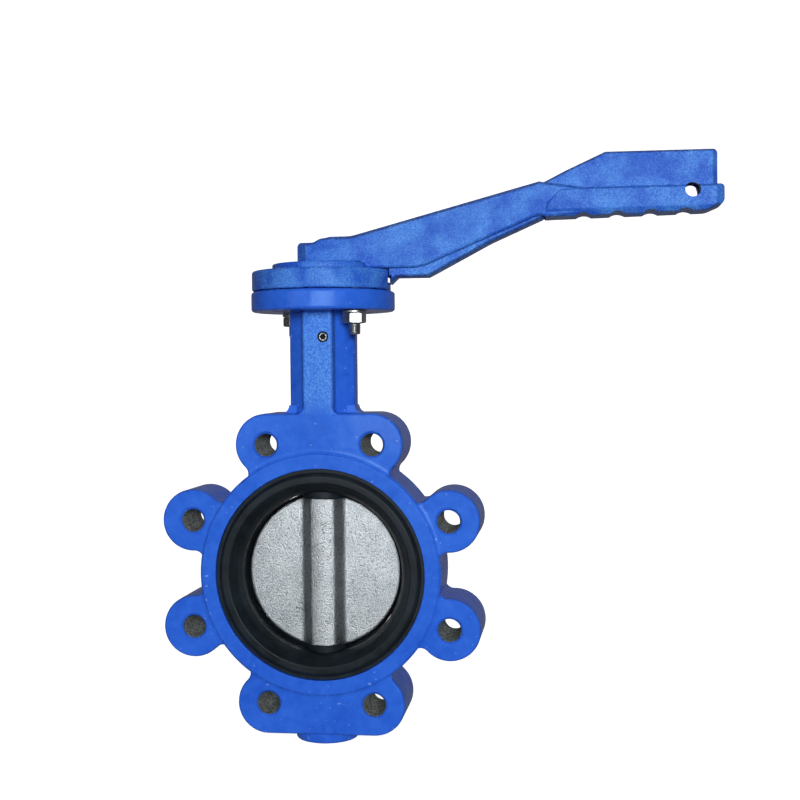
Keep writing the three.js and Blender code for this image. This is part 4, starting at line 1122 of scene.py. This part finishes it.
def make_fasteners():
    washer_foot = NUT_TOP_Z + 0.1
    for side, degrees in STUD_ANGLES.items():
        x, y = polar(FLANGE_BOLT_R, degrees)
        made = {
            ("stud", "plate_stud"): make_stud(),
            ("hexagon_nut", "plate_nut"): make_nut(),
            ("flat_washer", "plate_washer"): make_washer(
                WASHER_R, washer_foot, washer_foot + WASHER_THICKNESS),
        }
        for (name, node), shape in made.items():
            piece(place(shape, at=(x, y, 0)), f"{name}_{side}", "valve_fixed",
                  [f"{node}_{side}"], [ZINC])
    washer = make_washer(LEVER_WASHER_R, HUB_SEAT_Z + 0.2, LEVER_BOLT_SEAT_Z - 0.2)
    piece(washer, "hub_washer", "stem_and_lever", ["lever_washer"], [ZINC])
    seat = LEVER_BOLT_SEAT_Z
    bolt = join(make_hexagon_head(seat, seat + LEVER_BOLT_HEAD),
                threaded(M8_R - 0.65, M8_R, M8_PITCH, LEVER_BOLT_END_Z, seat + 0.7))
    piece(bolt, "hub_bolt", "stem_and_lever", ["lever_bolt"], [ZINC])


def make_lock_screw():
    """A socket set screw. Its narrow tip stands in the stem's groove."""
    face, r = LUG_HALF_DEPTH - 0.4, LOCK_SCREW_R
    shoulder, tip, tip_r = 10.8, 7, 1.6
    screw = turned([
        (0, tip), (tip_r, tip), (tip_r, shoulder), (r - 0.4, shoulder), (r - 0.4, face - 0.9),
        (r, face - 0.9), (r, face - 0.7), (r - 0.7, face), (0, face)], 48)
    screw.data.materials.append(ZINC)
    # the socket's faces take the near-black painted shade of its recess
    socket = slab(hexagon(3.6), face - 3, face + 1, "xy")
    socket.data.materials.append(SOCKET_SHADE_METAL)
    cut(screw, socket)
    place(along_y(screw), ("Z", 180), (LOCK_SCREW_X, 0, LOCK_SCREW_Z))
    piece(screw, "set_screw", "valve_fixed", ["stem_lock_screw"], [])


def repaint(node, material):
    """A carried-over CAD node keeps its shape and gets the finished material."""
    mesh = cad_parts[node].data
    mesh.materials.clear()
    mesh.materials.append(material)


# ---------------------------------------------------------------- stage


def make_camera():
    """At the photograph's viewing angle, found by fitting the eight bolt holes."""
    data = bpy.data.cameras.new("camera")
    data.lens, data.sensor_width = LENS_MM, SENSOR_MM
    data.clip_start, data.clip_end = 0.01, 50
    camera = bpy.data.objects.new("camera", data)
    turn = Matrix.Identity(4)
    for degrees, axis in ((CAMERA_YAW, "Z"), (CAMERA_PITCH, "X"), (CAMERA_ROLL, "Y"), (90, "X")):
        turn = turn @ Matrix.Rotation(math.radians(degrees), 4, axis)
    camera.matrix_world = Matrix.Translation(Vector(CAMERA_MM) * MM) @ turn
    scene.collection.objects.link(camera)
    scene.camera = camera


def make_floor():
    """A plain pale floor that sweeps up into a backdrop."""
    floor_z = cad_low.z - 0.0005
    near, far, height, bend, half = -6.0, 3.0, 4.0, 1.2, 7.0
    path = [(near, floor_z), (far - bend, floor_z)]
    for k in range(1, 13):
        angle = math.pi / 2 * k / 12
        path.append((far - bend + bend * math.sin(angle), floor_z + bend * (1 - math.cos(angle))))
    path.append((far, floor_z + height))
    points = [(side * half, y, z) for y, z in path for side in (-1, 1)]
    faces = [[2 * k, 2 * k + 1, 2 * k + 3, 2 * k + 2] for k in range(len(path) - 1)]
    mesh = bpy.data.meshes.new("floor")
    mesh.from_pydata(points, [], faces)
    mesh.shade_smooth()
    floor = bpy.data.objects.new("floor", mesh)
    scene.collection.objects.link(floor)
    s = Surface("pale_floor")
    s.set(Base_Color=srgb(236, 237, 239), Roughness=0.7, Specular_IOR_Level=0.2,
          Emission_Color=(1, 1, 1, 1), Emission_Strength=0.85)
    mesh.materials.append(s.material)
    floor.visible_glossy = False
    floor.visible_diffuse = False


def soft_box(name, position, width, height, power, aim=(0.05, 0, 0.08)):
    """A rectangular lamp turned towards a point, by default the middle of the valve."""
    data = bpy.data.lights.new(name, "AREA")
    data.shape, data.size, data.size_y = "RECTANGLE", width, height
    data.energy, data.color = power, (0.97, 0.985, 1)
    lamp = bpy.data.objects.new(name, data)
    toward = Vector(aim) - Vector(position)
    lamp.matrix_world = (Matrix.Translation(position)
                         @ toward.to_track_quat("-Z", "Y").to_matrix().to_4x4())
    scene.collection.objects.link(lamp)
    return lamp


def make_lights():
    """A wide wall of panels that only gloss shows, a key lamp that it doesn't, weak fills."""
    for name, (left, right, strength) in WALL_PANELS.items():
        middle = ((left + right) / 2, WALL_Y, (WALL_LOW + WALL_HIGH) / 2)
        width, height = right - left, WALL_HIGH - WALL_LOW
        power = WALL_WATTS_PER_AREA * width * height * strength
        panel = soft_box(name, middle, width, height, power, (middle[0], 0, middle[2]))
        panel.visible_diffuse = False
    for name, (position, width, height, watts, shows_in_gloss) in LAMPS.items():
        soft_box(name, position, width, height, watts).visible_glossy = shows_in_gloss


def make_surroundings():
    """A world that is pale where it is looked at and dim where it lights the valve."""
    world = bpy.data.worlds.new("studio")
    world.use_nodes = True
    nodes, links = world.node_tree.nodes, world.node_tree.links

    def blend(share, first, second):
        made = nodes.new("ShaderNodeMix")
        made.data_type = "RGBA"
        links.new(share, made.inputs[0])
        for socket, value in ((made.inputs[6], first), (made.inputs[7], second)):
            if isinstance(value, tuple):
                socket.default_value = value
            else:
                links.new(value, socket)
        return made.outputs[2]

    split = nodes.new("ShaderNodeSeparateXYZ")
    links.new(nodes.new("ShaderNodeTexCoord").outputs["Generated"], split.inputs[0])
    colour = GLOOM_BELOW
    for axis, low, high, further in (("Z", -0.25, 0.1, GLOOM_ABOVE), ("Y", 0.2, 0.8, GLOOM_BEHIND)):
        share = nodes.new("ShaderNodeMapRange")
        share.inputs["From Min"].default_value = low
        share.inputs["From Max"].default_value = high
        links.new(split.outputs[axis], share.inputs["Value"])
        colour = blend(share.outputs["Result"], colour, further)
    looked_at = nodes.new("ShaderNodeLightPath").outputs["Is Camera Ray"]
    colour = blend(looked_at, colour, SEEN_BACKDROP)
    links.new(colour, nodes["Background"].inputs["Color"])
    nodes["Background"].inputs["Strength"].default_value = 1.0
    scene.world = world
    scene.view_settings.view_transform = "Standard"


# ---------------------------------------------------------------- everything

make_camera()
make_body()
make_liner()
make_disc()
make_notch_plate()
make_lever()
make_trigger()
make_spring()
make_upper_stem()
make_fasteners()
make_lock_screw()
for node_name in ("bushing_neck_lower", "bushing_neck_upper", "bushing_foot"):
    repaint(node_name, BRONZE)
for node_name in ("o_ring_neck_lower", "o_ring_neck_upper", "o_ring_foot"):
    repaint(node_name, RUBBER)
for node_name in ("lower_stem", "trigger_pin"):
    repaint(node_name, STEM_STEEL)
make_floor()
make_lights()
make_surroundings()
bpy.data.collections.remove(workshop)
